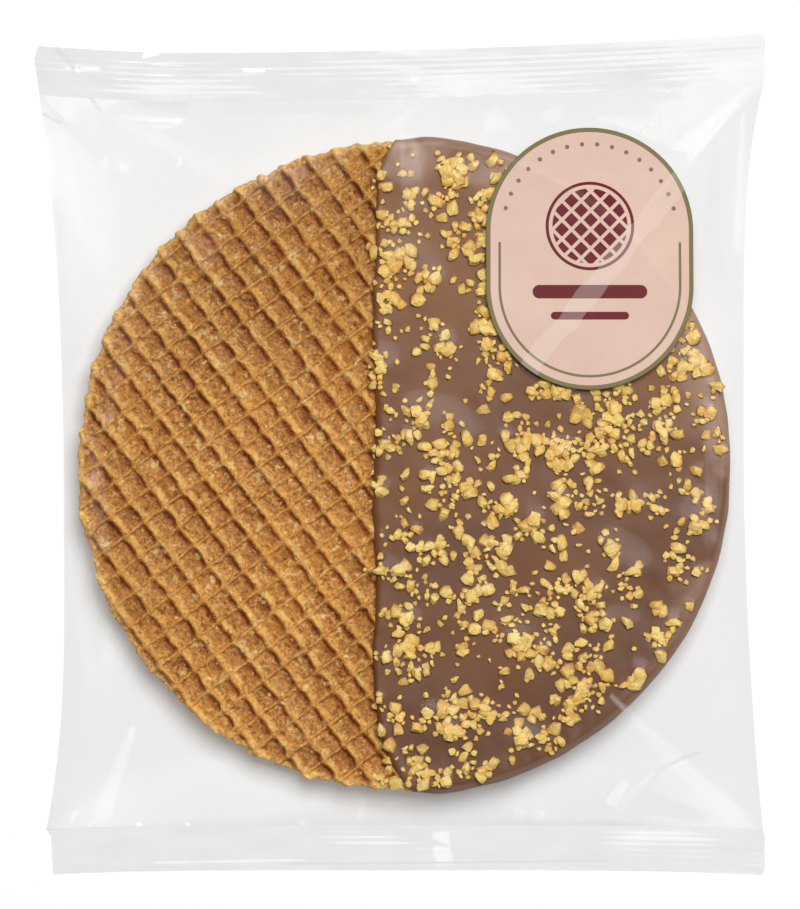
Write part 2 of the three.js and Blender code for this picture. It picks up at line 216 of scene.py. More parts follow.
def waffle_tree():
    """A fine grid pressed into pits and cut at the dip line, with walls down from its border."""
    tree, given = make_tree(
        "waffle_round",
        Float="Radius, Pitch, Turn, Pit depth, Thickness, Level, Cut, Seed",
        Int="Lines per pit",
        Bool="Pits down",
        Vector="Middle",
        Material="Material",
    )
    radius, pitch, level, seed = (given[name] for name in ("Radius", "Pitch", "Level", "Seed"))
    cells = maths("CEIL", maths("DIVIDE", radius, pitch))
    cells = times(plus(cells, 1), 2)
    side = times(cells, pitch)
    count = plus(times(cells, given["Lines per pit"]), 1)
    size = {"Size X": side, "Size Y": side, "Vertices X": count, "Vertices Y": count}
    sheet = first("GeometryNodeMeshGrid", size)
    turn = {"Geometry": sheet, "Rotation": combine(Z=given["Turn"])}
    sheet = first("GeometryNodeTransform", turn)

    place = first("GeometryNodeInputPosition", tree=tree)
    back = {"Vector": place, "Angle": times(given["Turn"], -1)}
    on_grid = first("ShaderNodeVectorRotate", back, rotation_type="Z_AXIS")
    wobble = noise(place, 2.9 * MM, 2.5, seed).node.outputs["Color"]
    wobble = vectors("SUBTRACT", wobble, (0.5, 0.5, 0.5))
    phased = vectors("DIVIDE", on_grid, combine(X=pitch, Y=pitch, Z=pitch))
    phased = vectors("ADD", phased, vectors("SCALE", wobble, Scale=0.3))
    phased = vectors("SUBTRACT", phased, grid_phase)
    across, along, _ = split(phased)
    from_line = minus(maths("FRACT", plus(across, 0.5)), 0.5)
    from_rib = maths("PINGPONG", along, 0.5)
    lobed = ramp(from_rib, 0.0, 0.36, 0.5, 1.15, smooth=True)
    eased = ramp(from_rib, 0.0, 0.28, 2.3, 1.0, smooth=True)
    gentle = ramp(maths("DIVIDE", from_line, lobed), 0.06, 0.28)
    steep = ramp(maths("DIVIDE", from_line, eased), -0.03, -0.13)
    rib_foot = ramp(maths("ABSOLUTE", from_line), 0.02, 0.22, 0.19, 0.1)
    rib = ramp(from_rib, 0.015, rib_foot, 0.28, 1.0)
    cell = {"Vector": vectors("FLOOR", phased), "W": seed}
    uneven = first("ShaderNodeTexWhiteNoise", cell, noise_dimensions="4D")
    shallow = noise(place, 11 * MM, 1, plus(seed, 5.0))
    far = vectors("LENGTH", place)
    to_rim = minus(radius, far)
    deep = times(
        smaller(larger(gentle, steep), rib),
        ramp(uneven, 0, 1, 0.6, 1.25),
        ramp(shallow, 0.36, 0.62, 0.62, 1.1, smooth=True),
        ramp(to_rim, 0.4 * MM, 3.5 * MM, 0.55, 1.0, smooth=True),
    )

    lumps = noise(place, 5 * MM, 2, seed)
    worn = noise(place, 2.2 * MM, 2, seed)
    crumb = noise(place, 0.9 * MM, 3, seed)
    rough = ramp(crumb, 0.25, 0.75, -0.15 * MM, 0.18 * MM)
    fall = plus(
        times(deep, given["Pit depth"]),
        ramp(lumps, 0.3, 0.7, -0.1 * MM, 0.16 * MM),
        ramp(worn, 0.45, 0.75, 0, 0.35 * MM),
        times(rough, ramp(deep, 0.2, 0.8, 0.7, 1.8)),
    )
    blobs = noise(place, 2.4 * MM, 1.5, plus(seed, 9.0))
    dough = ramp(blobs, 0.6, 0.72, smooth=True)
    fall = maths("MULTIPLY_ADD", dough, -0.35 * MM, fall)
    fall = plus(fall, ramp(to_rim, -0.2 * MM, 1.4 * MM, 0.9 * MM, 0, smooth=True))
    ragged = noise(place, 3.2 * MM, 3, seed)
    edge = plus(radius, ramp(ragged, 0.25, 0.75, -0.8 * MM, 0.45 * MM))
    edge = maths("MULTIPLY_ADD", deep, -0.7 * MM, edge)
    squeeze = smaller(maths("DIVIDE", edge, far), 1)
    pressed = vectors("SCALE", place, Scale=squeeze)
    pressed = vectors("ADD", pressed, combine(Z=minus(level, fall)))

    x, y, _ = split(place)
    cut = given["Cut"]
    for way, (reach, power) in zip((1, -1), dip_bends):
        bend = larger(maths("DIVIDE", times(y, way), radius), 0)
        cut = maths("MULTIPLY_ADD", maths("POWER", bend, power), reach, cut)
    spacing = maths("DIVIDE", pitch, given["Lines per pit"])
    outside = maths("GREATER_THAN", far, plus(edge, spacing))
    gone = larger(outside, maths("GREATER_THAN", x, cut))
    gone = {"Geometry": sheet, "Selection": gone}
    made = first("GeometryNodeDeleteGeometry", gone, domain="FACE")
    marks = {"pit": deep, "from_line": from_line, "dough": dough, "from_rib": from_rib}
    for name, value in marks.items():
        mark = {"Geometry": made, "Name": name, "Value": value}
        made = first("GeometryNodeStoreNamedAttribute", mark)
    made = first("GeometryNodeSetPosition", {"Geometry": made, "Position": pressed})

    border = {"A": first("GeometryNodeInputMeshEdgeNeighbors", tree=tree), "B": 1}
    selection = first("FunctionNodeCompare", border, data_type="INT", operation="EQUAL")
    for share in wall_steps:
        step = combine(Z=times(given["Thickness"], -share))
        wall = {"Mesh": made, "Selection": selection, "Offset": step, "Offset Scale": 1.0}
        extruded = node("GeometryNodeExtrudeMesh", wall, mode="EDGES").outputs
        made, selection = extruded["Mesh"], extruded["Top"]
    foot = combine(X=x, Y=y, Z=minus(level, given["Thickness"]))
    foot = {"Geometry": made, "Selection": selection, "Position": foot}
    made = first("GeometryNodeSetPosition", foot)
    flip = combine(X=1.0, Y=1.0, Z=ramp(given["Pits down"], 0, 1, 1, -1))
    placed = {"Geometry": made, "Scale": flip, "Translation": given["Middle"]}
    return end_tree(tree, first("GeometryNodeTransform", placed), given["Material"])


def close_up(piece):
    """Closes a sheet's open border with one flat face and turns every face outwards."""
    shell = bmesh.new()
    shell.from_mesh(piece.data)
    border = [edge for edge in shell.edges if edge.is_boundary]
    bmesh.ops.holes_fill(shell, edges=border, sides=0)
    bmesh.ops.recalc_face_normals(shell, faces=shell.faces)
    shell.to_mesh(piece.data)
    shell.free()


def object_place(tree):
    return node("ShaderNodeTexCoord", tree=tree).outputs["Object"]


def grain_group():
    """Fine specks over slow patches, both from 0 to 1, and the bump height of the specks."""
    group = bpy.data.node_groups.new("grain", "ShaderNodeTree")
    for way, names in {
        "INPUT": ("Speck size", "Patch size", "Seed"),
        "OUTPUT": ("Specks", "Patches", "Height"),
    }.items():
        for name in names:
            group.interface.new_socket(name, in_out=way, socket_type="NodeSocketFloat")
    given = group.nodes.new("NodeGroupInput").outputs
    out = group.nodes.new("NodeGroupOutput").inputs
    place = object_place(group)
    fine = noise(place, given["Speck size"], 4.0, given["Seed"], 0.62)
    slow = noise(place, given["Patch size"], 3.0, given["Seed"], 0.62)
    group.links.new(ramp(fine, 0.32, 0.68), out["Specks"])
    group.links.new(ramp(slow, 0.35, 0.65), out["Patches"])
    group.links.new(fine, out["Height"])
    return group


grain = grain_group()


def new_material(name):
    material = bpy.data.materials.new(name)
    material.use_nodes = True
    tree = material.node_tree
    return material, tree, tree.nodes["Principled BSDF"]


def set_shader(shader, **values):
    """Sets or joins the shader's inputs, given by their names with _ for each space."""
    for name, value in values.items():
        join(value, shader.inputs[name.replace("_", " ")])


def place_grain(tree, speck, patch, seed=0.0):
    values = {"Speck size": speck, "Patch size": patch, "Seed": seed}
    return node("ShaderNodeGroup", values, tree, node_tree=grain).outputs


def stored(tree, name):
    """A value kept on the mesh by name."""
    return node("ShaderNodeAttribute", tree=tree, attribute_name=name).outputs["Fac"]


def blend(share, low, high):
    values = {"Factor": share, "A": low, "B": high}
    return node("ShaderNodeMix", values, data_type="RGBA").outputs["Result"]


def layered(colour, *layers):
    """A colour with others laid over it, each given as its share and its screen values."""
    for share, over in layers:
        colour = blend(share, colour, rgb(*over))
    return colour


def apart(place, x, y):
    """Distance from the point x, y, seen from above."""
    flat = vectors("MULTIPLY", vectors("SUBTRACT", place, (x, y, 0)), (1, 1, 0))
    return vectors("LENGTH", flat)


def bump(height, distance, strength=1.0):
    values = {"Height": height, "Distance": distance, "Strength": strength}
    return first("ShaderNodeBump", values)


def rgb(red, green, blue):
    """A colour given in screen values from 0 to 255, as the linear values that shaders take."""
    return tuple(
        (c / 255 / 12.92 if c < 10.3 else ((c / 255 + 0.055) / 1.055) ** 2.4)
        for c in (red, green, blue)
    ) + (1.0,)


def waffle_material():
    """Golden brown crust with fine crumb, dark pores and pale flakes. The flank on the key light's
    side of each crest is painted paler as painted light and the other darker as painted shade, the
    rib tops and the rim get painted highlights, and it is darker towards the top and the left edge."""
    material, tree, shader = new_material("waffle")
    specks, patches, height = place_grain(tree, 0.65 * MM, 26 * MM)
    flakes, streaks, lumps = place_grain(tree, 1.3 * MM, 6 * MM, 2.0)
    marks = ("pit", "from_line", "dough", "from_rib")
    pit, from_line, dough, from_rib = (stored(tree, name) for name in marks)
    # Painted light and shade: the flank of each crest that faces the key light is painted paler,
    # and the flank facing away is painted darker.
    painted_lit_flank = times(
        ramp(from_line, 0.0, 0.07),
        ramp(from_line, 0.31, 0.2),
        ramp(streaks, 0, 1, 0.3, 1.0),
        ramp(ramp(from_rib, 0.03, 0.18, smooth=True), 0, 1, 0.1, 0.9),
    )
    painted_shaded_flank = times(
        ramp(from_line, -0.03, -0.08),
        ramp(from_line, -0.36, -0.15),
        ramp(ramp(from_rib, 0.06, 0.24, smooth=True), 0, 1, 0.08, 1.0),
        ramp(flakes, 0, 1, 1.1, 0.75),
    )
    place = object_place(tree)
    x, y, _ = split(place)
    far = apart(place, wafer_x, wafer_y)
    rim = ramp(far, waffle_radius - 2.4 * MM, waffle_radius - 0.5 * MM, smooth=True)
    crust = blend(patches, rgb(211, 143, 62), rgb(197, 128, 49))
    floor = blend(streaks, rgb(207, 146, 76), rgb(175, 113, 51))
    colour = layered(
        blend(ramp(pit, 0.35, 0.9, smooth=True), crust, floor),
        (painted_lit_flank, (255, 200, 114)),
        (painted_shaded_flank, (148, 69, 14)),
        # Painted highlight: the rib tops are painted lighter, as if they caught the light.
        (ramp(from_rib, 0.06, 0.02, 0, 0.6), (236, 178, 98)),
        (times(dough, 0.6), (248, 208, 130)),
        (ramp(flakes, 0.66, 0.97, 0, 0.7), (244, 210, 140)),
        (ramp(flakes, 0.32, 0.05, 0, 0.7), (128, 66, 22)),
        # Painted highlight: the rim is painted paler, as if its side caught the light.
        (times(rim, 0.5), (250, 204, 124)),
    )
    contrast = ramp(pit, 0.1, 0.8, 0.55, 0.95)
    contrast = times(contrast, ramp(streaks, 0, 1, 1.3, 0.8))
    # Brightness: crumb specks, darker towards the top and the left edge, and the rim brightened as
    # a painted highlight.
    specks_and_painted_rim_light = times(
        maths("MULTIPLY_ADD", minus(specks, 0.5), contrast, 0.93),
        ramp(y, 5 * MM, 50 * MM, 1, 0.83),
        ramp(x, -60 * MM, -35 * MM, 0.9, 1),
        ramp(rim, 0, 1, 1, 1.22),
    )
    set_shader(
        shader,
        Base_Color=vectors("SCALE", colour, Scale=specks_and_painted_rim_light),
        Roughness=ramp(specks, 0, 1, 0.75, 0.5),
        Specular_IOR_Level=0.24,
        Normal=bump(maths("MULTIPLY_ADD", lumps, 1.6, height), 0.4 * MM),
    )
    return material


pressing = waffle_tree()
upper_values = {
    "Radius": waffle_radius,
    "Pitch": grid_pitch,
    "Turn": grid_turn,
    "Pit depth": pit_depth,
    "Thickness": round_thickness,
    "Cut": dip_x - wafer_x + 1.4 * MM,
    "Lines per pit": 18,
    "Level": waffle_top,
    "Seed": 1.0,
    "Middle": (wafer_x, wafer_y, 0.0),
    "Material": waffle_material(),
}
lower_values = {
    **upper_values,
    "Radius": waffle_radius - 0.6 * MM,
    "Lines per pit": 9,
    "Level": -waffle_bottom,
    "Seed": 4.0,
    "Pits down": True,
}
upper_round = grow("waffle_round_upper", pressing, upper_values)
lower_round = grow("waffle_round_lower", pressing, lower_values)
for piece in (upper_round, lower_round):
    close_up(piece)
    finish_piece(piece)


# Syrup -------------------------------------------------------------------------
# A thin layer of dark caramel syrup that glues the rounds together. It ends just inside the wafer's
# edge, where it shows as a dark line between them.

syrup_turns = 360
syrup_radius = waffle_radius - 1.0 * MM
syrup_profile = [(0.6, 0.0), (0.12, 0.18), (0.0, 0.5), (0.12, 0.82), (0.6, 1.0)]


def new_piece(name, points, faces):
    mesh = bpy.data.meshes.new(name)
    mesh.from_pydata(points.tolist(), [], faces)
    piece = bpy.data.objects.new(name, mesh)
    bpy.context.scene.collection.objects.link(piece)
    return piece


def squares(*corners):
    """Faces with four corners each, from the index grids of their corners."""
    return np.stack(corners, axis=-1).reshape(-1, 4)


def ring_shell(name, crown, rings, foot):
    """A closed shell through rings of points (count, 3) from a crown down to a foot point."""
    count = len(rings[0])
    points = np.vstack([[crown], *rings, [foot]])
    index = 1 + np.arange(len(rings) * count).reshape(len(rings), count)
    after = np.roll(index, -1, axis=1)
    last = len(points) - 1
    faces = squares(index[:-1], index[1:], after[1:], after[:-1]).tolist()
    faces += [(0, a, b) for a, b in zip(index[0].tolist(), after[0].tolist())]
    faces += [(last, b, a) for a, b in zip(index[-1].tolist(), after[-1].tolist())]
    return new_piece(name, points, faces)


def cloud(x, y, lump, seed=0.0):
    """Smooth noise from about -1 to 1 with lumps of this size, over arrays of places."""
    steps = np.vectorize(lambda a, b: snoise((a, b, seed)))
    return steps(x / lump, y / lump)


def syrup_material():
    material, tree, shader = new_material("syrup")
    specks, patches, height = place_grain(tree, 0.5 * MM, 6 * MM, 7.0)
    set_shader(
        shader,
        Base_Color=blend(patches, rgb(122, 62, 22), rgb(96, 44, 14)),
        Roughness=ramp(specks, 0, 1, 0.3, 0.18),
        Normal=bump(height, 0.1 * MM, 0.5),
    )
    return material


turns = np.linspace(0, 2 * np.pi, syrup_turns, endpoint=False)
syrup_low = waffle_bottom + round_thickness - 0.1 * MM
syrup_high = waffle_top - round_thickness + 0.1 * MM
syrup_x = wafer_x - 20 * MM


def syrup_ring(inset, z):
    radius = syrup_radius + 0.4 * MM * cloud(np.cos(turns), np.sin(turns), 0.06, 3.0) - inset
    y = wafer_y + radius * np.sin(turns)
    x = np.minimum(wafer_x + radius * np.cos(turns), dip_line(y) + 1.2 * MM)
    return np.column_stack([x, y, np.full(syrup_turns, z)])


syrup_rings = [
    syrup_ring(inset * MM, syrup_high + (syrup_low - syrup_high) * share)
    for inset, share in syrup_profile
]
crown, foot = (syrup_x, wafer_y, syrup_high), (syrup_x, wafer_y, syrup_low)
syrup = ring_shell("syrup", crown, syrup_rings, foot)
syrup.data.materials.append(syrup_material())
finish_piece(syrup)


# Chocolate ---------------------------------------------------------------------
# The right half was dipped, so milk chocolate wraps it on both faces and round the rim. It has a
# soft bead along the dipping line, slow swells on top and fine ripples where it ran off the rim.

dipped_radius = 63.4 * MM
chocolate_top = 9.4 * MM
chocolate_bottom = 0.15 * MM
flat_side, flat_angle = 0.45 * MM, 0.24
core_rings = 22
line_steps, rim_steps = 230, 340
insets = MM * np.array(
    [0, 0.06, 0.16, 0.3, 0.48, 0.7, 1.0, 1.4, 1.9, 2.5, 3.1, 3.8, 4.5, 5.3, 6.1, 7, 8, 9, 10, 11]
)
wall_profile = [(-0.1, 0.25), (-0.12, 0.5), (-0.05, 0.75), (0.3, 0.93), (1.0, 1.0), (6, 1.0)]


def lerp(low, high, share):
    return low + (high - low) * share


def smooth(value, low, high):
    share = np.clip((value - low) / (high - low), 0, 1)
    return share * share * (3 - 2 * share)


def chocolate_edge():
    """The outline from the top of the dipping line down to its foot and round the rim, and how much
    each point belongs to the rim."""
    lefts = [dip_x + bend - wafer_x for bend, _ in dip_bends]
    high, low = (math.sqrt(waffle_radius**2 - left**2) for left in lefts)
    y = wafer_y + np.linspace(high, -low, line_steps, endpoint=False)
    run = 0.35 * MM * cloud(y, 0 * y, 5 * MM, 1.0) + 0.25 * MM * cloud(y, 0 * y, 1.7 * MM, 2.0)
    from_end = np.minimum(wafer_y + high - y, y - wafer_y + low)
    line = np.column_stack([dip_line(y) + run * smooth(from_end, 0, 4 * MM), y])
    start, end = math.atan2(-low, lefts[1]), math.atan2(high, lefts[0])
    angle = np.linspace(start, end, rim_steps, endpoint=False)
    grown = smooth(np.minimum(angle - angle[0], angle[-1] - angle), 0, 0.09)
    radius = lerp(waffle_radius, dipped_radius, grown)
    radius += 0.2 * MM * cloud(np.cos(angle), np.sin(angle), 0.09, 4.0) * grown
    radius -= flat_side * np.exp(-((angle / flat_angle) ** 2))
    rim = np.column_stack([wafer_x + radius * np.cos(angle), wafer_y + radius * np.sin(angle)])
    share = np.concatenate([np.zeros(line_steps), np.ones(rim_steps)])
    return np.vstack([line, rim]), share


def chocolate_surface(x, y):
    """Height of the chocolate's top away from its edge."""
    swell = 0.16 * MM * cloud(x, y, 11 * MM, 5.0) + 0.07 * MM * cloud(x, y, 4 * MM, 6.0)
    near_rim = smooth(from_wafer(x, y), dipped_radius - 14 * MM, dipped_radius - 2 * MM)
    stretched = cloud(x + 0.4 * y, (y - 0.4 * x) * 0.35, 2.4 * MM, 8.0)
    return chocolate_top + swell + 0.11 * MM * near_rim * stretched


edge, on_rim = chocolate_edge()
chocolate_middle = np.array([wafer_x + 0.4 * dipped_radius, wafer_y])
inward = chocolate_middle - edge
inward /= np.linalg.norm(inward, axis=1)[:, None]
fall, width = np.where(on_rim, 1.5 * MM, 0.8 * MM), np.where(on_rim, 1.6 * MM, 0.9 * MM)
top_rings = []
for inset in insets:
    place = edge + inward * inset
    lip = 1 - np.clip(inset / width, 0, 1)
    bead = 0.12 * MM * np.exp(-(((inset - 1.5 * MM) / (0.9 * MM)) ** 2)) * (1 - on_rim)
    z = chocolate_surface(*place.T) + bead - fall * (1 - np.sqrt(1 - lip**2))
    top_rings.append(np.column_stack([place, z]))
core = []
for share in np.linspace(0.04, 1, core_rings, endpoint=False):
    place = edge + inward * insets[-1]
    place += (chocolate_middle - place) * share
    core.append(np.column_stack([place, chocolate_surface(*place.T)]))
rings = core[::-1] + top_rings[::-1]
for inset, share in wall_profile:
    z = lerp(top_rings[0][:, 2], chocolate_bottom, share)
    rings.append(np.column_stack([edge + inward * inset * MM, z]))


def chocolate_material():
    """Milk chocolate in random patches, lighter towards the top and darker towards the bottom as a
    painted sheen, with a painted pale sheen on and near its rim.
    """
    material, tree, shader = new_material("chocolate")
    _, patches, height = place_grain(tree, 1.2 * MM, 18 * MM, 3.0)
    place = object_place(tree)
    y = split(place)[1]
    # Random tone in patches, plus a painted sheen that makes the top lighter and the bottom darker.
    tone = maths("MULTIPLY_ADD", patches, 0.6, ramp(y, -60 * MM, 30 * MM, -0.35, 0.42))
    far = apart(place, wafer_x, wafer_y)
    # Painted sheen: pale patches near the rim, stronger towards the top, standing in for soft
    # reflections.
    painted_sheen = times(
        ramp(far, dipped_radius - 11 * MM, dipped_radius - MM, 0.0, 1.0, smooth=True),
        ramp(patches, 0.35, 0.65, 0.1, 0.55),
        ramp(y, -45 * MM, 0, 0.3, 1.0),
    )
    # Painted sheen on the rim's own side, blended to the same pale colour.
    wall = ramp(far, dipped_radius - 1.8 * MM, dipped_radius - 0.4 * MM, 0, 0.42, smooth=True)
    colour = blend(tone, rgb(101, 59, 29), rgb(134, 87, 50))
    set_shader(
        shader,
        Base_Color=blend(larger(painted_sheen, wall), colour, rgb(186, 156, 138)),
        Roughness=ramp(patches, 0, 1, 0.36, 0.46),
        Specular_IOR_Level=0.22,
        Normal=bump(height, 0.06 * MM, 0.35),
    )
    return material


crown = (*chocolate_middle, float(chocolate_surface(*chocolate_middle)))
chocolate = ring_shell("chocolate", crown, rings, (*chocolate_middle, chocolate_bottom))
chocolate.data.materials.append(chocolate_material())
finish_piece(chocolate)


# Nuts --------------------------------------------------------------------------
# Roasted nuts, chopped to chips of 1 to 4 mm and strewn on the wet chocolate in loose clusters. A
# geometry node tree drops them from above, so each lies on whatever it lands on.

nut_length = 2.9 * MM
chip_kinds, chip_breaks = 10, 8
drop_height, drop_grid = 30 * MM, 90


def keep(mesh, name, values):
    """Stores one number for each point of the mesh."""
    mesh.attributes.new(name, "FLOAT", "POINT").data.foreach_set("value", values)


def chip(index, random):
    """One broken bit of nut: a lumpy block with flat breaks and sharp corners."""
    body = bmesh.new()
    bmesh.ops.create_icosphere(body, subdivisions=2, radius=1.0)
    breaks = random.normal(size=(chip_breaks, 3))
    breaks /= np.linalg.norm(breaks, axis=1)[:, None]
    reach = random.uniform(0.42, 0.8, chip_breaks)
    size = nut_length / 2 * np.array([1.15, random.uniform(0.7, 1.0), random.uniform(0.55, 0.7)])
    for vert in body.verts:
        place = np.array(vert.co)
        place *= 1 + 0.35 * snoise(vert.co * 1.2 + Vector((3 * index, 0, 0)))
        for side, limit in zip(breaks, reach):
            place -= side * max(0, place @ side - limit)
        place *= 1 + 0.22 * snoise(vert.co * 3 + Vector((0, index, 0)))
        vert.co = place * size
    mesh = bpy.data.meshes.new(f"chip_{index}")
    body.to_mesh(mesh)
    body.free()
    # Painted shade: a share that is zero at a chip's top and one at its foot, kept to darken its
    # lower sides.
    heights = np.array([vert.co.z for vert in mesh.vertices]) / (0.5 * nut_length)
    keep(mesh, "roast", 0.5 - 0.5 * heights)
    mesh.shade_smooth()
    mesh.set_sharp_from_angle(angle=math.radians(22))
    return bpy.data.objects.new(mesh.name, mesh)


def nut_tree():
    """Chips strewn over the chocolate from above, denser in clusters, laid where they land."""
    tree, given = make_tree(
        "strewn_nuts",
        Collection="Chips",
        Object="Chocolate, Waffle",
        Float="Radius, Dip line, Most per square metre, Spacing, Cluster size",
        Int="Seed",
        Material="Material",
    )
    middle = (wafer_x, wafer_y, drop_height)
    side = times(given["Radius"], 2.0)
    size = {"Size X": side, "Size Y": side, "Vertices X": drop_grid, "Vertices Y": drop_grid}
    sheet = {"Geometry": first("GeometryNodeMeshGrid", size), "Translation": middle}
    place = first("GeometryNodeInputPosition", tree=tree)
    clusters = noise(place, given["Cluster size"], 2.5, given["Seed"])
    thick = ramp(clusters, 0.43, 0.59, 0.08, 1.0, smooth=True)
    far = vectors("LENGTH", vectors("SUBTRACT", place, middle))
    inside = ramp(minus(given["Radius"], far), 1.3 * MM, 2.4 * MM)
    past_line = minus(split(place)[0], given["Dip line"])
    on_chocolate = ramp(past_line, -1.2 * MM, 1.5 * MM)
    scatter = {
        "Mesh": first("GeometryNodeTransform", sheet),
        "Distance Min": given["Spacing"],
        "Density Max": given["Most per square metre"],
        "Density Factor": times(thick, inside, on_chocolate),
        "Seed": given["Seed"],
    }
    points = first("GeometryNodeDistributePointsOnFaces", scatter, distribute_method="POISSON")
    ground = node("GeometryNodeJoinGeometry", tree=tree)
    for name in ("Chocolate", "Waffle"):
        source = node("GeometryNodeObjectInfo", {"Object": given[name]})
        tree.links.new(source.outputs["Geometry"], ground.inputs[0])
    fall = {
        "Target Geometry": ground.outputs[0],
        "Source Position": place,
        "Ray Direction": (0.0, 0.0, -1.0),
        "Ray Length": drop_height + 10 * MM,
    }
    hit = node("GeometryNodeRaycast", fall).outputs

    def random(kind, low, high, seed):
        made = node("FunctionNodeRandomValue", tree=tree, data_type=kind)
        chosen = {s.name: s for s in made.inputs if s.enabled}
        for name, value in (("Min", low), ("Max", high), ("Seed", seed)):
            chosen[name].default_value = value
        return [s for s in made.outputs if s.enabled][0]

    missed = {"Geometry": points, "Selection": minus(1.0, hit["Is Hit"])}
    points = first("GeometryNodeDeleteGeometry", missed, domain="POINT")
    heap = times(random("FLOAT", 0.0, 1.0, 7), thick)
    lift = combine(Z=ramp(heap, 0.2, 1.0, 0.3 * MM, 0.38 * MM))
    landed = {"Geometry": points, "Position": hit["Hit Position"], "Offset": lift}
    kinds = {"Collection": given["Chips"], "Separate Children": True, "Reset Children": True}
    size = maths("POWER", random("FLOAT", 0.0, 1.0, 3), 2.0)
    strewn = {
        "Points": first("GeometryNodeSetPosition", landed),
        "Instance": first("GeometryNodeCollectionInfo", kinds),
        "Pick Instance": True,
        "Rotation": random("FLOAT_VECTOR", (-0.35, -0.35, 0.0), (0.35, 0.35, 6.28), 5),
        "Scale": ramp(size, 0, 1, 0.34, 1.26),
    }
    strewn = first("GeometryNodeInstanceOnPoints", strewn)
    real = first("GeometryNodeRealizeInstances", {"Geometry": strewn})
    return end_tree(tree, real, given["Material"])


def nut_material():
    material, tree, shader = new_material("nuts")
    specks, patches, height = place_grain(tree, 0.7 * MM, 3.5 * MM, 9.0)
    roast = stored(tree, "roast")
    colour = layered(
        blend(patches, rgb(255, 221, 120), rgb(240, 186, 78)),
        (ramp(specks, 0.4, 1, 0, 0.7), (255, 242, 190)),
        # Painted shade: lower sides orange-brown, and a dark painted contact shadow round each
        # chip's foot.
        (ramp(roast, 0.3, 0.5, 0, 0.85), (190, 126, 42)),
        (ramp(roast, 0.45, 0.56, 0, 0.85), (100, 58, 22)),
    )
    set_shader(
        shader,
        Base_Color=colour,
        Roughness=ramp(specks, 0, 1, 0.7, 0.5),
        Normal=bump(height, 0.5 * MM),
    )
    return material


chip_random = np.random.default_rng(3)
chips = bpy.data.collections.new("chips")
for index in range(chip_kinds):
    chips.objects.link(chip(index, chip_random))
nut_values = {
    "Chips": chips,
    "Chocolate": chocolate,
    "Waffle": upper_round,
    "Radius": dipped_radius,
    "Dip line": dip_x,
    "Most per square metre": 8.5e5,
    "Spacing": 0.78 * MM,
    "Cluster size": 6 * MM,
    "Seed": 2,
    "Material": nut_material(),
}
nuts = grow("nuts", nut_tree(), nut_values)
finish_piece(nuts)
for unused in list(chips.objects):
    bpy.data.objects.remove(unused)
bpy.data.collections.remove(chips)


# Film --------------------------------------------------------------------------
# Clear film folded round the wafer as a flat tube. It lies taut over the waffle's crests and the
# nuts, falls from the wafer's rim to folded sides, and puckers and creases where the seals hold it.

sticker_x, sticker_y = 36.5 * MM, 37.6 * MM
sticker_width, sticker_height = 39.8 * MM, 50.4 * MM
sticker_half, sticker_straight = sticker_width / 2, (sticker_height - sticker_width) / 2
sticker_level = 11.14 * MM
film_gap, film_swell = 0.07 * MM, 0.14 * MM
contents_radius, ray_start = 66.5 * MM, 20 * MM
sticker_margin = 0.6 * MM
fold_level = 3.7 * MM
seal_depth = {"top": 9.4 * MM, "bottom": 8.7 * MM}
seal_corner_x = 69.9 * MM
cut_y = 81
sides = {
    "left": dict(waist=-64.5, waist_y=-28, top=-69.4, bottom=-68.0, power=(3.0, 2.5)),
    "right": dict(waist=66.2, waist_y=4, top=70.2, bottom=70.0, power=(4.5, 2.0)),
}
film_columns, film_rows, back_step = 264, 306, 3
taut_rounds = 220
pucker_height, slack_height = 0.35 * MM, 0.5 * MM
clear_haze, haze_and_painted_light_weight = 0.003, 0.11
mirror_facing, mirror_edge_on = 0.005, 0.9


def top_cut(x):
    """Y of the cut end, which bows in the middle and rises to the left corner."""
    corner = np.clip((-x / MM - 46) / 24, 0, 1) ** 1.2
    return (cut_y - 3.7 * (1 - np.clip((x / MM + 40) / 110, -1, 1) ** 2) + 1.1 * corner) * MM


def bottom_cut(x):
    return (-cut_y + (1 - (x / seal_corner_x) ** 4)) * MM


def top_seal_edge(x):
    return top_cut(x) - seal_depth["top"]


def bottom_seal_edge(x):
    return bottom_cut(x) + seal_depth["bottom"]


def side_fold(name, y):
    """X of the bag's folded side at y, narrow at the waist."""
    side = sides[name]
    top_end = top_seal_edge(side["top"] * MM)
    bottom_end = bottom_seal_edge(side["bottom"] * MM)
    waist_y = side["waist_y"] * MM
    above = y > waist_y
    away = np.clip((y - waist_y) / (np.where(above, top_end, bottom_end) - waist_y), 0, 1)
    end = np.where(above, side["top"], side["bottom"])
    return lerp(side["waist"], end, away ** np.where(above, *side["power"])) * MM


def seal_level(x):
    return lerp(2.8, 1.3, (x / seal_corner_x) ** 2) * MM


def outline_reach(angle):
    """How far the folds and seals lie from the wafer's middle in these directions."""
    near, far = np.full(angle.shape, dipped_radius), np.full(angle.shape, 1.8 * dipped_radius)
    for _ in range(30):
        middle = (near + far) / 2
        x, y = wafer_x + middle * np.cos(angle), wafer_y + middle * np.sin(angle)
        inside = (y < top_seal_edge(x)) & (y > bottom_seal_edge(x))
        inside &= (x > side_fold("left", y)) & (x < side_fold("right", y))
        near, far = np.where(inside, middle, near), np.where(inside, far, middle)
    return near


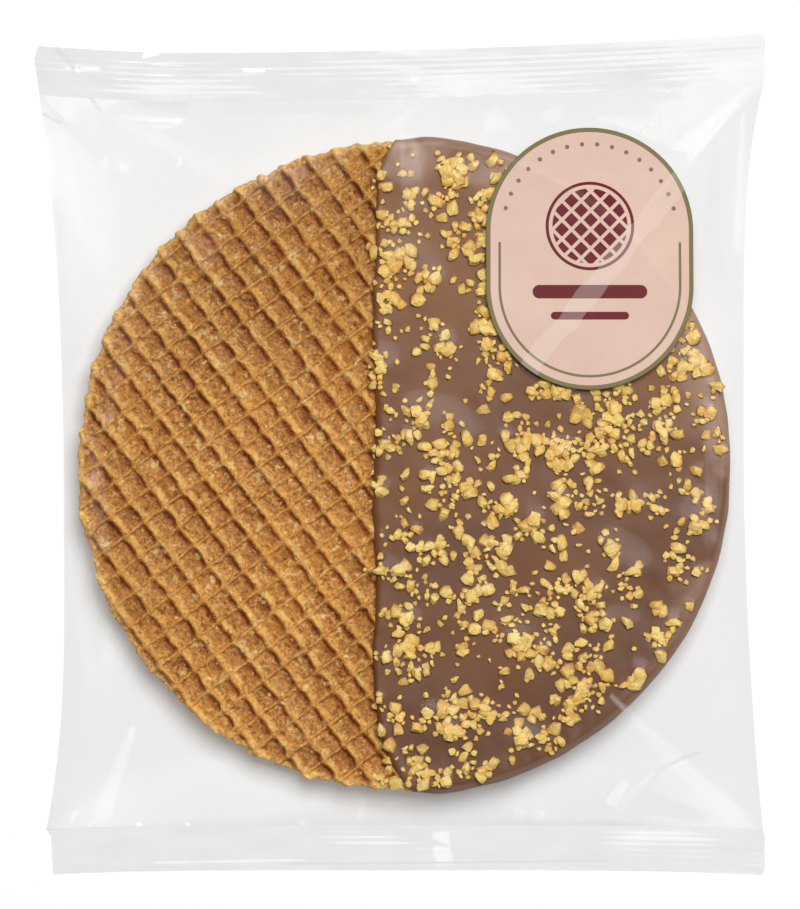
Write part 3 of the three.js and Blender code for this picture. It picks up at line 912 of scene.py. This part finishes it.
def film_levels(x, y, rim=None):
    """Heights of the upper and lower film where nothing holds it up, and the share of the way from
    the wafer's rim to the outline."""
    angle = np.arctan2(y - wafer_y, x - wafer_x)
    dipped = wafer_x + waffle_radius * np.cos(angle) > dip_x + dip_bends[0][0]
    rim_radius = np.where(dipped, dipped_radius, waffle_radius) - 0.9 * MM
    if rim is None:
        rim = np.where(dipped, chocolate_top + 0.3 * MM, waffle_top - 0.1 * MM)
    out = outline_reach(angle)
    reach = np.clip((from_wafer(x, y) - rim_radius) / (out - rim_radius), 0, 1)
    out_x, out_y = wafer_x + out * np.cos(angle), wafer_y + out * np.sin(angle)
    near_seal = smooth(np.abs(out_y), 15 * MM, top_seal_edge(out_x))
    level = lerp(fold_level, seal_level(out_x), near_seal)
    power = lerp(0.7, 1.25, np.clip((out - rim_radius) / (30 * MM), 0, 1))
    upper = level + (rim - level) * (1 - reach) ** power
    return upper, level * reach**1.6, reach


def stadium_depth(x, y):
    """How far inside the sticker's edge a place is."""
    beyond = np.maximum(np.abs(y - sticker_y) - sticker_straight, 0)
    return sticker_half - np.hypot(x - sticker_x, beyond)


def held_up(x, y):
    """Top of the contents under each place and its neighbours, from rays sent down on them."""
    top = np.zeros(x.shape)
    for piece in (upper_round, chocolate, nuts):
        tree = BVHTree.FromPolygons(
            [vert.co for vert in piece.data.vertices],
            [face.vertices for face in piece.data.polygons],
        )
        for spot in zip(*np.nonzero(from_wafer(x, y) < contents_radius)):
            hit = tree.ray_cast((x[spot], y[spot], ray_start), (0, 0, -1))[0]
            if hit:
                top[spot] = max(top[spot], hit.z)
    wide = np.pad(top, 1)
    rows, columns = top.shape
    near = [wide[i : i + rows, j : j + columns] for i in range(3) for j in range(3)]
    return np.max(near, axis=0)


def ridge(x, y, route, height, width, fade=0.25):
    """A sharp crease along a route of (x, y) in mm: its height at places x, y, and its strength."""
    best = np.zeros(x.shape)
    route = np.array(route, float) * MM
    lengths = np.linalg.norm(np.diff(route, axis=0), axis=1)
    whole, gone = lengths.sum(), 0.0
    for start, end, length in zip(route[:-1], route[1:], lengths):
        share = ((x - start[0]) * (end - start)[0] + (y - start[1]) * (end - start)[1]) / length**2
        share = np.clip(share, 0, 1)
        off = np.hypot(x - lerp(start[0], end[0], share), y - lerp(start[1], end[1], share))
        along = (gone + share * length) / whole
        wane = smooth(along, 0, fade) * smooth(1 - along, 0, fade)
        best = np.maximum(best, wane * np.exp(-((off / (width * MM)) ** 1.2)))
        gone += length
    return best * height * MM


def pleats(x, away, seed, pitch):
    """Puckers that run out of a seal: none at its edge, most 2 to 3 mm away, gone further out."""
    lean = x + 0.35 * away * cloud(x, 0 * x, 16 * MM, seed)
    wave = cloud(lean, away * 0.12, pitch, seed + 1)
    size = smooth(cloud(x, 0 * x, 11 * MM, seed + 2), -0.5, 0.5)
    return np.maximum(wave + 0.1, 0) * size * (away / (2.2 * MM)) * np.exp(1 - away / (2.2 * MM))


# Each crease: its route, height and width, all in mm.
creases = [
    ([(67.5, 70.5), (61.5, 63), (54.5, 53)], 0.12, 1.2),
    ([(66.5, 70.5), (58.5, 64.5), (50.5, 57.5)], 0.12, 1.2),
    ([(68.8, 69), (66.8, 50), (65.8, 26), (65.3, 6)], 0.5, 0.8),
    ([(-50.9, -51.5), (-54.8, -62), (-58.8, -72)], 0.8, 0.9),
    ([(-47.5, -53), (-51, -63), (-54, -71.5)], 0.35, 1.2),
    ([(40.9, -46.6), (52, -58), (63.6, -70.3)], 0.75, 1.0),
    ([(46.5, -46.5), (57, -57.5), (67, -70.5)], 0.45, 1.3),
    ([(56.5, -57.7), (50, -60.8), (44.9, -64.5), (39.5, -71)], 0.9, 0.7),
    ([(-54, 64.6), (-42.3, 64.2)], 0.5, 0.6),
    ([(-64, 66), (-55.5, 57), (-49.5, 49)], 0.15, 1.6),
    ([(-65, 50), (-64, 36), (-62.5, 22)], 0.5, 1.8),
    ([(-41, 64), (-36, 56), (-31, 52)], 0.4, 1.4),
    ([(21, 67), (13, 62), (6, 61.5)], 0.4, 1.2),
]


def wedge(x, y, slip):
    """The painted light of one flat slip of creased film at places x, y: a painted reflection where
    the strength is above zero, painted shade where it is below.
    """
    start, end, widths = np.array(slip[:6]).reshape(3, 2) * MM
    strength = slip[6]
    along = end - start
    length = np.hypot(*along)
    share = ((x - start[0]) * along[0] + (y - start[1]) * along[1]) / length**2
    off = np.abs((x - start[0]) * along[1] - (y - start[1]) * along[0]) / length
    half = lerp(*widths, np.clip(share, 0, 1)) / 2
    inside = smooth(half - off, -0.25 * MM, 0.25 * MM)
    return strength * inside * smooth(share, -0.02, 0.04) * smooth(1 - share, -0.02, 0.1)


def with_painted_slips(haze, x, y, wedges):
    """The haze and painted light, with each slip laid in where it is the stronger."""
    for slip in wedges:
        made = wedge(x, y, slip)
        haze = np.where(np.abs(made) > np.abs(haze), made, haze)
    return haze


# Each slip is a painted reflection on one flat facet of film, turned into painted shade where its
# strength is below zero: the x and y of its start and end, its two widths, all in mm, and its
# strength.
painted_slips = [
    (67.2, 70.9, 49.5, 51.6, 0.3, 7.0, 0.25),
    (-51.0, -52.2, -52.0, -54.4, 0.7, 1.1, 2.4),
    (-51.4, -53.0, -58.0, -71.5, 1.4, 3.8, 0.9),
    (40.4, -46.1, 43.4, -49.0, 0.5, 0.9, 2.4),
    (42.4, -48.0, 53.0, -58.8, 0.8, 3.4, 0.6),
    (51.0, -57.0, 66.0, -70.8, 3.0, 4.4, 0.35),
    (58.0, -57.0, 49.0, -61.2, 0.6, 1.4, -1.0),
    (55.5, -58.6, 51.5, -60.4, 0.5, 0.8, 1.6),
    (50.2, -60.8, 42.2, -70.0, 0.8, 2.6, -0.9),
    (43.5, -63.0, 40.2, -67.5, 1.4, 2.2, 1.3),
    (59.5, -70.2, 47.0, -66.5, 2.0, 4.5, -0.55),
    (30.6, -69.8, 43.0, -70.2, 2.6, 2.8, -0.6),
    (-56.0, 65.3, -33.0, 53.6, 0.8, 4.5, 0.3),
    (-54.0, 64.9, -41.5, 64.2, 0.3, 0.6, 2.2),
    (66.2, 66.0, 64.8, 38.0, 0.5, 1.6, 0.9),
    (61.0, 60.0, 59.5, 34.0, 1.0, 5.0, -0.25),
    (-66.5, 62.0, -61.5, 34.0, 4.0, 7.0, 0.3),
    (-56.2, 57.8, -57.2, 54.5, 1.0, 2.0, 0.6),
    (-42.0, 57.3, -42.3, 55.3, 0.5, 0.8, 1.3),
    (-52.0, 67.6, -40.0, 66.8, 1.0, 3.6, -0.45),
    (-34.0, 66.6, -22.0, 66.6, 2.6, 2.6, -0.35),
    (-22.0, 66.8, -5.0, 66.4, 2.4, 2.0, -0.45),
    (3.0, 67.0, -1.5, 62.0, 1.0, 3.0, 0.6),
    (17.5, 66.5, 19.0, 62.0, 3.0, 5.5, 0.6),
    (29.0, 66.5, 30.0, 64.0, 3.5, 4.0, 0.5),
    (22.6, -70.2, 23.4, -68.4, 1.0, 1.8, 3.0),
    (26.8, -69.8, 27.4, -68.6, 1.2, 1.6, 3.0),
    (-7.0, -66.0, -7.8, -70.6, 0.8, 1.0, 1.6),
    (-63.2, -71.0, -62.2, -68.6, 0.3, 0.7, 2.6),
    (-59.6, -71.6, -58.9, -70.8, 0.4, 0.5, 2.4),
    (-50.6, -72.2, -49.8, -71.2, 0.5, 0.7, 2.6),
    (-41.2, -72.3, -40.6, -71.2, 0.5, 0.7, 2.6),
    (-18.8, -71.6, -18.0, -70.4, 0.5, 0.8, 2.4),
    (-64.0, -18.0, -58.5, -46.0, 0.8, 3.5, 0.35),
    (-58.5, 4.0, -57.5, -20.0, 2.5, 4.0, 0.28),
    (-52.0, 22.0, -57.0, 6.0, 2.0, 3.0, 0.22),
    (1.5, 62.0, 3.0, 46.0, 3.0, 5.0, 0.4),
    (-68.8, 65.8, -65.0, 63.6, 0.3, 0.3, -3.0),
    (-58.5, 70.2, -58.0, 68.6, 0.5, 0.7, 1.8),
    (-59.5, 68.8, -57.4, 66.0, 0.3, 0.3, -2.0),
    (59.5, 10.0, 60.0, -18.0, 1.5, 3.0, 0.3),
]

# Each glow is a soft painted highlight, or painted shade where its strength is below zero: its x,
# y and size in mm, and its strength.
painted_glows = [
    (-57, 54, 14, 0.2),
    (-60, 30, 12, 0.25),
    (60, 22, 10, 0.25),
    (-23, 52, 5, 0.35),
    (-38, -75, 17, -0.6),
    (0, -76, 18, -1.0),
    (38, -74, 17, -1.2),
]


def film_material(name, loss):
    """Clear film that loses this share of light, mirrors a little, more when seen edge on, and is
    milky where creased. The stored haze also carries painted light: above zero the film is painted
    whiter and clearer, below zero it is painted darker."""
    material, tree, shader = new_material(name)
    _, patches, height = place_grain(tree, 1.6 * MM, 12 * MM, 5.0)
    dents = bump(height, 0.05 * MM, 0.25)
    stored_haze_and_painted_light = stored(tree, "haze")
    haze = maths("MULTIPLY_ADD", larger(stored_haze_and_painted_light, 0), haze_and_painted_light_weight, clear_haze)
    facing = node("ShaderNodeLayerWeight", {"Blend": 0.5, "Normal": dents}).outputs["Facing"]
    mirror = maths("POWER", facing, 5.0)
    mirror = maths("MULTIPLY_ADD", mirror, mirror_edge_on, mirror_facing)
    mirror = maths("MULTIPLY_ADD", haze, 0.05, mirror)
    share = maths("ADD", mirror, haze, clamp=True)
    set_shader(
        shader,
        Base_Color=(0.96, 0.965, 0.97, 1),
        Roughness=ramp(patches, 0, 1, 0.08, 0.16),
        Metallic=maths("DIVIDE", mirror, share),
        Normal=dents,
    )
    # Painted light: where the stored value is above zero the film lets more light through, and
    # below zero it is painted darker.
    dull, bright = ((1 - part * loss,) * 3 + (1,) for part in (1.9, 0.1))
    face_on = blend(ramp(stored_haze_and_painted_light, -1.0, 1.0), dull, bright)
    clear = blend(ramp(facing, 0.0, 0.6), face_on, (0.9, 0.9, 0.905, 1))
    glass = first("ShaderNodeBsdfTransparent", {"Color": clear})
    mixed = first("ShaderNodeMixShader", {0: share, 1: glass, 2: shader.outputs[0]})
    tree.links.new(mixed, tree.nodes["Material Output"].inputs["Surface"])
    return material


def sharpen_border(mesh, *sheets):
    """Marks the edges along the borders of these index grids as sharp."""
    borders = [np.concatenate([g[0], g[-1], g[:, 0], g[:, -1]]) for g in sheets]
    border = set(np.concatenate(borders).tolist())
    sharp = [set(edge.vertices) <= border for edge in mesh.edges]
    mesh.attributes.new("sharp_edge", "BOOLEAN", "EDGE").data.foreach_set("value", sharp)


def film_bag():
    """The tube of film: a fine sheet above and a coarser one below, joined round its border."""
    across, up = np.meshgrid(
        np.linspace(0, 1, film_columns + 1), np.linspace(0, 1, film_rows + 1), indexing="ij"
    )
    x = lerp(sides["left"]["top"], sides["right"]["top"], across) * MM
    y = lerp(bottom_seal_edge(x), top_seal_edge(x), up)
    x = lerp(side_fold("left", y), side_fold("right", y), across)
    upper, lower, reach = film_levels(x, y)
    depth = stadium_depth(x, y)
    carries = depth > -sticker_margin
    under_sticker = film_levels(x, y, sticker_level)[0] - 0.05 * MM
    contents = held_up(x, y)
    swell = film_swell * np.maximum(cloud(x, y, 8 * MM, 3.0) + 0.2, 0)
    floor = np.where(contents > 0, contents + film_gap + swell, 0)
    pinned = carries | ((reach > 0.5) & (floor < upper))
    fixed = np.where(carries, under_sticker, upper)
    sheet = np.where(pinned, fixed, np.maximum(upper, floor))
    for _ in range(taut_rounds):
        mean = sheet.copy()
        mean[1:-1, 1:-1] = 0.25 * (
            sheet[2:, 1:-1] + sheet[:-2, 1:-1] + sheet[1:-1, 2:] + sheet[1:-1, :-2]
        )
        sheet = np.where(pinned, fixed, np.maximum(mean, floor))

    free = smooth(-depth, sticker_margin, 3 * MM)
    edge_fade = smooth(1 - reach, 0, 0.12)
    folds = np.zeros(x.shape)
    for route, height, width in creases:
        folds = np.maximum(folds, ridge(x, y, route, height, width))
    puckers = pucker_height * pleats(x, top_seal_edge(x) - y, 21.0, 3.2 * MM)
    puckers += pucker_height * pleats(x, y - bottom_seal_edge(x), 31.0, 2.6 * MM)
    slack = slack_height * np.maximum(cloud(x, y, 13 * MM, 41.0) + 0.3, 0)
    outside = smooth(reach, 0.02, 0.3)
    rise = (folds + slack * outside) * edge_fade + puckers
    sheet += rise * free
    # Haze: milky film along folds and puckers and a slow random cloud, then painted reflections and
    # painted shade from the slips and glows.
    haze = 0.5 * np.clip((folds + 0.6 * puckers) / (0.7 * MM), 0, 1) ** 2
    haze += 0.22 * cloud(x, y, 15 * MM, 45.0) * outside
    haze = with_painted_slips(haze, x, y, painted_slips)
    for glow_x, glow_y, size, strength in painted_glows:
        away = np.hypot(x - glow_x * MM, y - glow_y * MM) / (size * MM)
        haze += strength * np.exp(-(away**2))
    haze *= smooth(-depth, 0, 0.5 * MM)

    step = back_step
    index = np.arange(x.size).reshape(x.shape)
    faces = squares(index[:-1, :-1], index[1:, :-1], index[1:, 1:], index[:-1, 1:]).tolist()
    back = np.stack([x, y, np.maximum(lower, 0.05 * MM)], axis=-1)[::step, ::step]
    below = np.full(back.shape[:2], -1)
    below[0], below[-1] = index[0, ::step], index[-1, ::step]
    below[:, 0], below[:, -1] = index[::step, 0], index[::step, -1]
    fresh = below < 0
    below[fresh] = x.size + np.arange(fresh.sum())
    last_i, last_j = below.shape[0] - 2, below.shape[1] - 2
    for i, j in np.ndindex(last_i + 1, last_j + 1):
        left, low = i * step, j * step
        face = [
            below[i, j],
            *(index[0, low + 1 : low + step] if i == 0 else ()),
            below[i, j + 1],
            *(index[left + 1 : left + step, -1] if j == last_j else ()),
            below[i + 1, j + 1],
            *(index[-1, low + step - 1 : low : -1] if i == last_i else ()),
            below[i + 1, j],
            *(index[left + step - 1 : left : -1, 0] if j == 0 else ()),
        ]
        faces.append([int(corner) for corner in face])
    points = np.vstack([np.stack([x, y, sheet], axis=-1).reshape(-1, 3), back[fresh]])
    bag = new_piece("film_bag", points, faces)
    sharpen_border(bag.data, index)
    keep(bag.data, "haze", np.append(haze, np.zeros(fresh.sum())))
    return bag


clear_film = film_material("film", 0.094)
film = film_bag()
film.data.materials.append(clear_film)
film.visible_shadow = False
finish_piece(film, "bag")


# Seals -------------------------------------------------------------------------
# The bag's two ends, where the front and back film are crimped together between ribbed jaws and cut
# off. Fine ribs run along each seal, and small wrinkles are pressed flat in it.

seal_columns, seal_rows = 300, 60
seal_thickness = 0.22 * MM
rib_height = 0.009 * MM
seal_shares = (0, 0.15, 0.75, 1)
seal_ends = {
    "top": ((-69.4, -69.5, -70.35, -69.5), (70.2, 70.3, 70.4, 70.3)),
    "bottom": ((-68.0, -67.1, -66.8, -66.7), (70.0, 70.3, 70.3, 70.1)),
}
seal_tone = {"top": (-0.5, 0.08), "bottom": (-0.35, 0.04)}

# Painted reflections along the seals, turned into painted shade where the strength is below zero.
seal_painted_slips = [
    (-66.6, 78.5, -61.6, 73.6, 1.0, 1.8, -0.9),
    (-62.4, 74.8, -61.8, 73.6, 0.5, 0.8, 1.2),
    (-69.6, 74.0, -68.0, 71.6, 0.8, 0.5, -0.8),
    (-49.5, 76.6, -46.0, 77.6, 0.9, 0.8, 1.8),
    (-64.5, 74.6, -57.5, 74.2, 0.6, 0.9, 0.8),
    (-54.0, 75.6, -38.0, 74.6, 0.4, 0.6, 0.5),
    (-52.0, 73.2, -38.0, 72.8, 0.5, 0.5, 0.4),
    (-30.2, 74.0, -25.5, 73.8, 0.9, 0.5, 1.0),
    (2.4, 72.2, 4.0, 72.2, 0.4, 0.5, 1.5),
    (-23.0, -78.8, 45.0, -78.2, 0.5, 0.4, -0.9),
    (-48.0, -78.6, -16.0, -78.0, 0.5, 0.6, 0.5),
    (8.0, -72.5, 8.6, -79.5, 3.4, 3.4, 0.45),
]


def seal_heights(x, share, depth, seed):
    """Middle height of a seal at x, share of the way from its inner edge to its cut end."""
    away = share * depth
    wave = 0.25 * MM * np.sin(0.11 * x / MM + depth / MM) * smooth(away, 0, 5 * MM)
    in_jaws = smooth(share, 0.1, 0.16) * smooth(1 - share, 0.12, 0.2)
    pressed = smooth(cloud(x, away, 9 * MM, seed + 5), -0.7, -0.1)
    ribs = rib_height * np.sin(2 * np.pi * away / (1.15 * MM)) * in_jaws * pressed
    wrinkles = 0.045 * MM * cloud(x, away * 0.25, 5 * MM, seed)
    flat = 0.028 * MM * cloud(x * 0.2, away, 1.9 * MM, seed + 2)
    start = smooth(share, 0, 0.1)
    return seal_level(x) + wave + ribs + (wrinkles + flat) * start


def film_seal(name, inner_edge, cut, seed):
    """A thin closed band from a little inside the bag's tube to its cut end."""
    depth = seal_depth[name]
    across, share = np.meshgrid(
        np.linspace(0, 1, seal_columns + 1), np.linspace(-0.001, 1, seal_rows + 1), indexing="ij"
    )
    ends = [np.interp(share, seal_shares, end) * MM for end in seal_ends[name]]
    ragged = 0.12 * MM * cloud(share * depth, across, 1.5 * MM, seed + 8)
    x = lerp(*ends, across) + ragged * smooth(np.abs(2 * across - 1), 0.9, 1)
    y = lerp(inner_edge(x), cut(x), share)
    y += 0.1 * MM * cloud(x, 0 * x, 2.2 * MM, seed + 9) * smooth(share, 0.9, 1)
    z = seal_heights(x, share, depth, seed)
    half = seal_thickness / 2
    points = np.vstack([np.stack([x, y, z + up], axis=-1).reshape(-1, 3) for up in (half, -half)])
    top = np.arange(x.size).reshape(x.shape)
    if name == "bottom":
        top = top[:, ::-1]
    low = top + x.size
    walls = [
        (top[:-1, :-1], top[1:, :-1], top[1:, 1:], top[:-1, 1:]),
        (low[:-1, :-1], low[:-1, 1:], low[1:, 1:], low[1:, :-1]),
        (top[:-1, -1], top[1:, -1], low[1:, -1], low[:-1, -1]),
        (top[:-1, 0], low[:-1, 0], low[1:, 0], top[1:, 0]),
        (top[0, :-1], top[0, 1:], low[0, 1:], low[0, :-1]),
        (top[-1, :-1], low[-1, :-1], low[-1, 1:], top[-1, 1:]),
    ]
    faces = np.vstack([squares(*corners) for corners in walls])
    band = new_piece("film_seal_" + name, points, faces.tolist())
    sharpen_border(band.data, top, low)
    band.visible_shadow = False
    # Painted highlight streaks along the seal, laid on an even tone and a slow random cloud.
    streaks = smooth(cloud(x * 0.06, share * depth, 0.7 * MM, seed + 20), 0.25, 0.6)
    streaks *= smooth(cloud(x, share * depth * 0.5, 8 * MM, seed + 21), 0.0, 0.5)
    tone, shine = seal_tone[name]
    haze = tone + shine * streaks + 0.25 * cloud(x * 0.3, share * depth, 2.5 * MM, seed + 22)
    keep(band.data, "haze", np.tile(with_painted_slips(haze, x, y, seal_painted_slips).ravel(), 2))
    band.data.materials.append(crimped_film)
    finish_piece(band)


crimped_film = film_material("crimped_film", 0.08)
film_seal("top", top_seal_edge, top_cut, 50.0)
film_seal("bottom", bottom_seal_edge, bottom_cut, 60.0)


# Sticker -----------------------------------------------------------------------
# A glossy paper sticker with round ends on the bag's upper right, printed with a border, a rule, an
# arc of dots and a plain waffle emblem. It lies on the film and bends down with it past the rim.

sticker_thickness = 0.2 * MM
arc_points, side_points = 81, 18
ring_radius, dot_radius = sticker_half - 3.2 * MM, 0.42 * MM
dot_spacing, dot_reach = math.radians(10), math.radians(80)
emblem_y, emblem_radius = 6.2 * MM, 7.2 * MM


def sticker_body():
    angle = np.linspace(0, np.pi, arc_points)
    across, up = sticker_half * np.cos(angle), sticker_half * np.sin(angle)
    arc = np.column_stack([across, up + sticker_straight])
    side_y = np.linspace(sticker_straight, -sticker_straight, side_points + 2)[1:-1]
    side = np.column_stack([np.full(side_points, -sticker_half), side_y])
    shape = np.vstack([arc, side, -arc, -side])

    def ring(share, down):
        x, y = sticker_x + shape[:, 0] * share, sticker_y + shape[:, 1] * share
        level = film_levels(x, y, sticker_level)[0] + 0.04 * MM * cloud(x, y, 7 * MM, 71.0)
        return np.column_stack([x, y, level + sticker_thickness - down])

    shares = np.append(np.linspace(0.05, 0.985, 24), [0.995, 1.0])
    rings = [ring(share, 0.02 * MM if share == 1.0 else 0) for share in shares]
    rings += [ring(share, sticker_thickness) for share in shares[::-1]]
    crown, foot = (ring(0.0, down)[0] for down in (0, sticker_thickness))
    return ring_shell("sticker", crown, rings, foot)


def sticker_material():
    """The print, made of distances: everything is a plain shape in one of three colours. A painted
    sheen band lies over it, and its top is painted darker as painted shade.
    """
    material, tree, shader = new_material("sticker")
    specks, patches, height = place_grain(tree, 0.6 * MM, 15 * MM, 11.0)
    place = vectors("SUBTRACT", object_place(tree), (sticker_x, sticker_y, 0))
    x, y, _ = split(place)

    def past(value, edge, soft=0.04 * MM):
        return ramp(value, edge - soft, edge + soft)

    def within(value, edge, soft=0.04 * MM):
        return minus(1, past(value, edge, soft))

    def band(value, low, high):
        return times(past(value, low), within(value, high))

    def bar(middle_y, width, tall):
        """A plain bar with round ends."""
        side = larger(minus(maths("ABSOLUTE", x), (width - tall) / 2), 0)
        rise = minus(y, middle_y)
        far = plus(maths("POWER", side, 2), times(rise, rise))
        return within(maths("SQRT", far), tall / 2)

    beyond = larger(minus(maths("ABSOLUTE", y), sticker_straight), 0)
    depth = minus(sticker_half, vectors("LENGTH", combine(X=x, Y=beyond)))
    rule = times(band(depth, 2.35 * MM, 2.85 * MM), within(y, 3.1 * MM))

    arc_x, arc_y, _ = split(vectors("SUBTRACT", place, (0, sticker_straight, 0)))
    turn = maths("ARCTAN2", arc_x, arc_y)
    dot_turn = maths("PINGPONG", plus(turn, dot_spacing / 2), dot_spacing / 2)
    off_ring = minus(apart(place, 0, sticker_straight), ring_radius)
    off_dot = combine(X=times(dot_turn, ring_radius), Y=off_ring)
    dots = within(vectors("LENGTH", off_dot), dot_radius)
    dots = times(dots, within(maths("ABSOLUTE", turn), dot_reach, 0.01))
    olive = larger(within(depth, 0.85 * MM), rule, dots)

    emblem = apart(place, 0, emblem_y)
    turned = {"Vector": place, "Angle": math.radians(45)}
    turned = first("ShaderNodeVectorRotate", turned, rotation_type="Z_AXIS")
    lines = [maths("PINGPONG", plus(part, 0.1), 1.3 * MM) for part in split(turned)[:2]]
    pits = times(within(emblem, emblem_radius), past(smaller(*lines), 0.32 * MM))
    waffle_print = larger(pits, band(emblem, 7.9 * MM, 8.5 * MM))
    bars = larger(bar(-6.4 * MM, 22 * MM, 2.6 * MM), bar(-11 * MM, 15 * MM, 1.5 * MM))
    maroon = larger(waffle_print, bars)

    # Painted sheen: a pale band across the print, standing in for a reflection.
    slant = maths("MULTIPLY_ADD", y, -0.8, x)
    painted_sheen = band(plus(slant, times(patches, 2 * MM)), 4 * MM, 9 * MM)
    printed = layered(
        blend(patches, rgb(219, 187, 171), rgb(213, 180, 164)),
        (olive, (124, 112, 74)),
        (maroon, (104, 26, 31)),
        (times(painted_sheen, 0.16), (244, 232, 222)),
    )
    # Painted shade: the top, which bends down past the rim, is painted darker to offset the light
    # it catches.
    dimmer = ramp(y, 2 * MM, 20 * MM, 1, 0.93)
    set_shader(
        shader,
        Base_Color=vectors("SCALE", printed, Scale=dimmer),
        Roughness=ramp(specks, 0, 1, 0.42, 0.55),
        Specular_IOR_Level=0.12,
        Coat_Weight=0.03,
        Coat_Roughness=0.25,
        Normal=bump(height, 0.03 * MM, 0.3),
    )
    return material


sticker = sticker_body()
sticker.data.materials.append(sticker_material())
finish_piece(sticker, "label")


# Stage -------------------------------------------------------------------------
# A plain white table with a faint glow of its own, a soft key light from the upper right, a dim
# room, and a camera straight above that frames the bag.

table_reach = 6.0
corners = table_reach * np.array([(-1, -1, 0), (1, -1, 0), (1, 1, 0), (-1, 1, 0)])
table = new_piece("table", corners, [(0, 1, 2, 3)])
paint, _, paint_shader = new_material("table_top")
set_shader(
    paint_shader,
    Base_Color=(0.68, 0.68, 0.68, 1),
    Roughness=0.9,
    Emission_Color=(1, 0.975, 0.93, 1),
    Emission_Strength=0.28,
)
table.data.materials.append(paint)

world = bpy.data.worlds.new("room")
world.use_nodes = True
room_light = world.node_tree.nodes["Background"].inputs
room_light["Color"].default_value = (1, 1, 1, 1)
room_light["Strength"].default_value = 0.09
bpy.context.scene.world = world


def soft_light(name, azimuth, elevation, distance, width, height, power):
    """A rectangular soft light aimed at the middle of the bag, unseen by the camera."""
    lamp = bpy.data.lights.new(name, "AREA")
    lamp.shape = "RECTANGLE"
    lamp.size, lamp.size_y, lamp.energy = width, height, power
    lamp.color = (1, 1.01, 1.028)
    holder = bpy.data.objects.new(name, lamp)
    turn, rise = math.radians(azimuth), math.radians(elevation)
    holder.location = (
        distance * math.cos(rise) * math.cos(turn),
        distance * math.cos(rise) * math.sin(turn),
        distance * math.sin(rise),
    )
    holder.rotation_euler = holder.location.to_track_quat("Z", "Y").to_euler()
    holder.visible_camera = False
    bpy.context.scene.collection.objects.link(holder)


soft_light("key", azimuth=66, elevation=70, distance=2.4, width=1.3, height=1.3, power=66)

camera_height = 2.0
frame_height = 0.1748
camera = bpy.data.objects.new("camera", bpy.data.cameras.new("camera"))
camera.location = (0.0001, 0.0, camera_height)
camera.data.lens = camera.data.sensor_width * (camera_height - waffle_top / 2) / frame_height
camera.data.clip_end = 100
bpy.context.scene.collection.objects.link(camera)
bpy.context.scene.camera = camera
bpy.context.scene.view_settings.view_transform = "Standard"
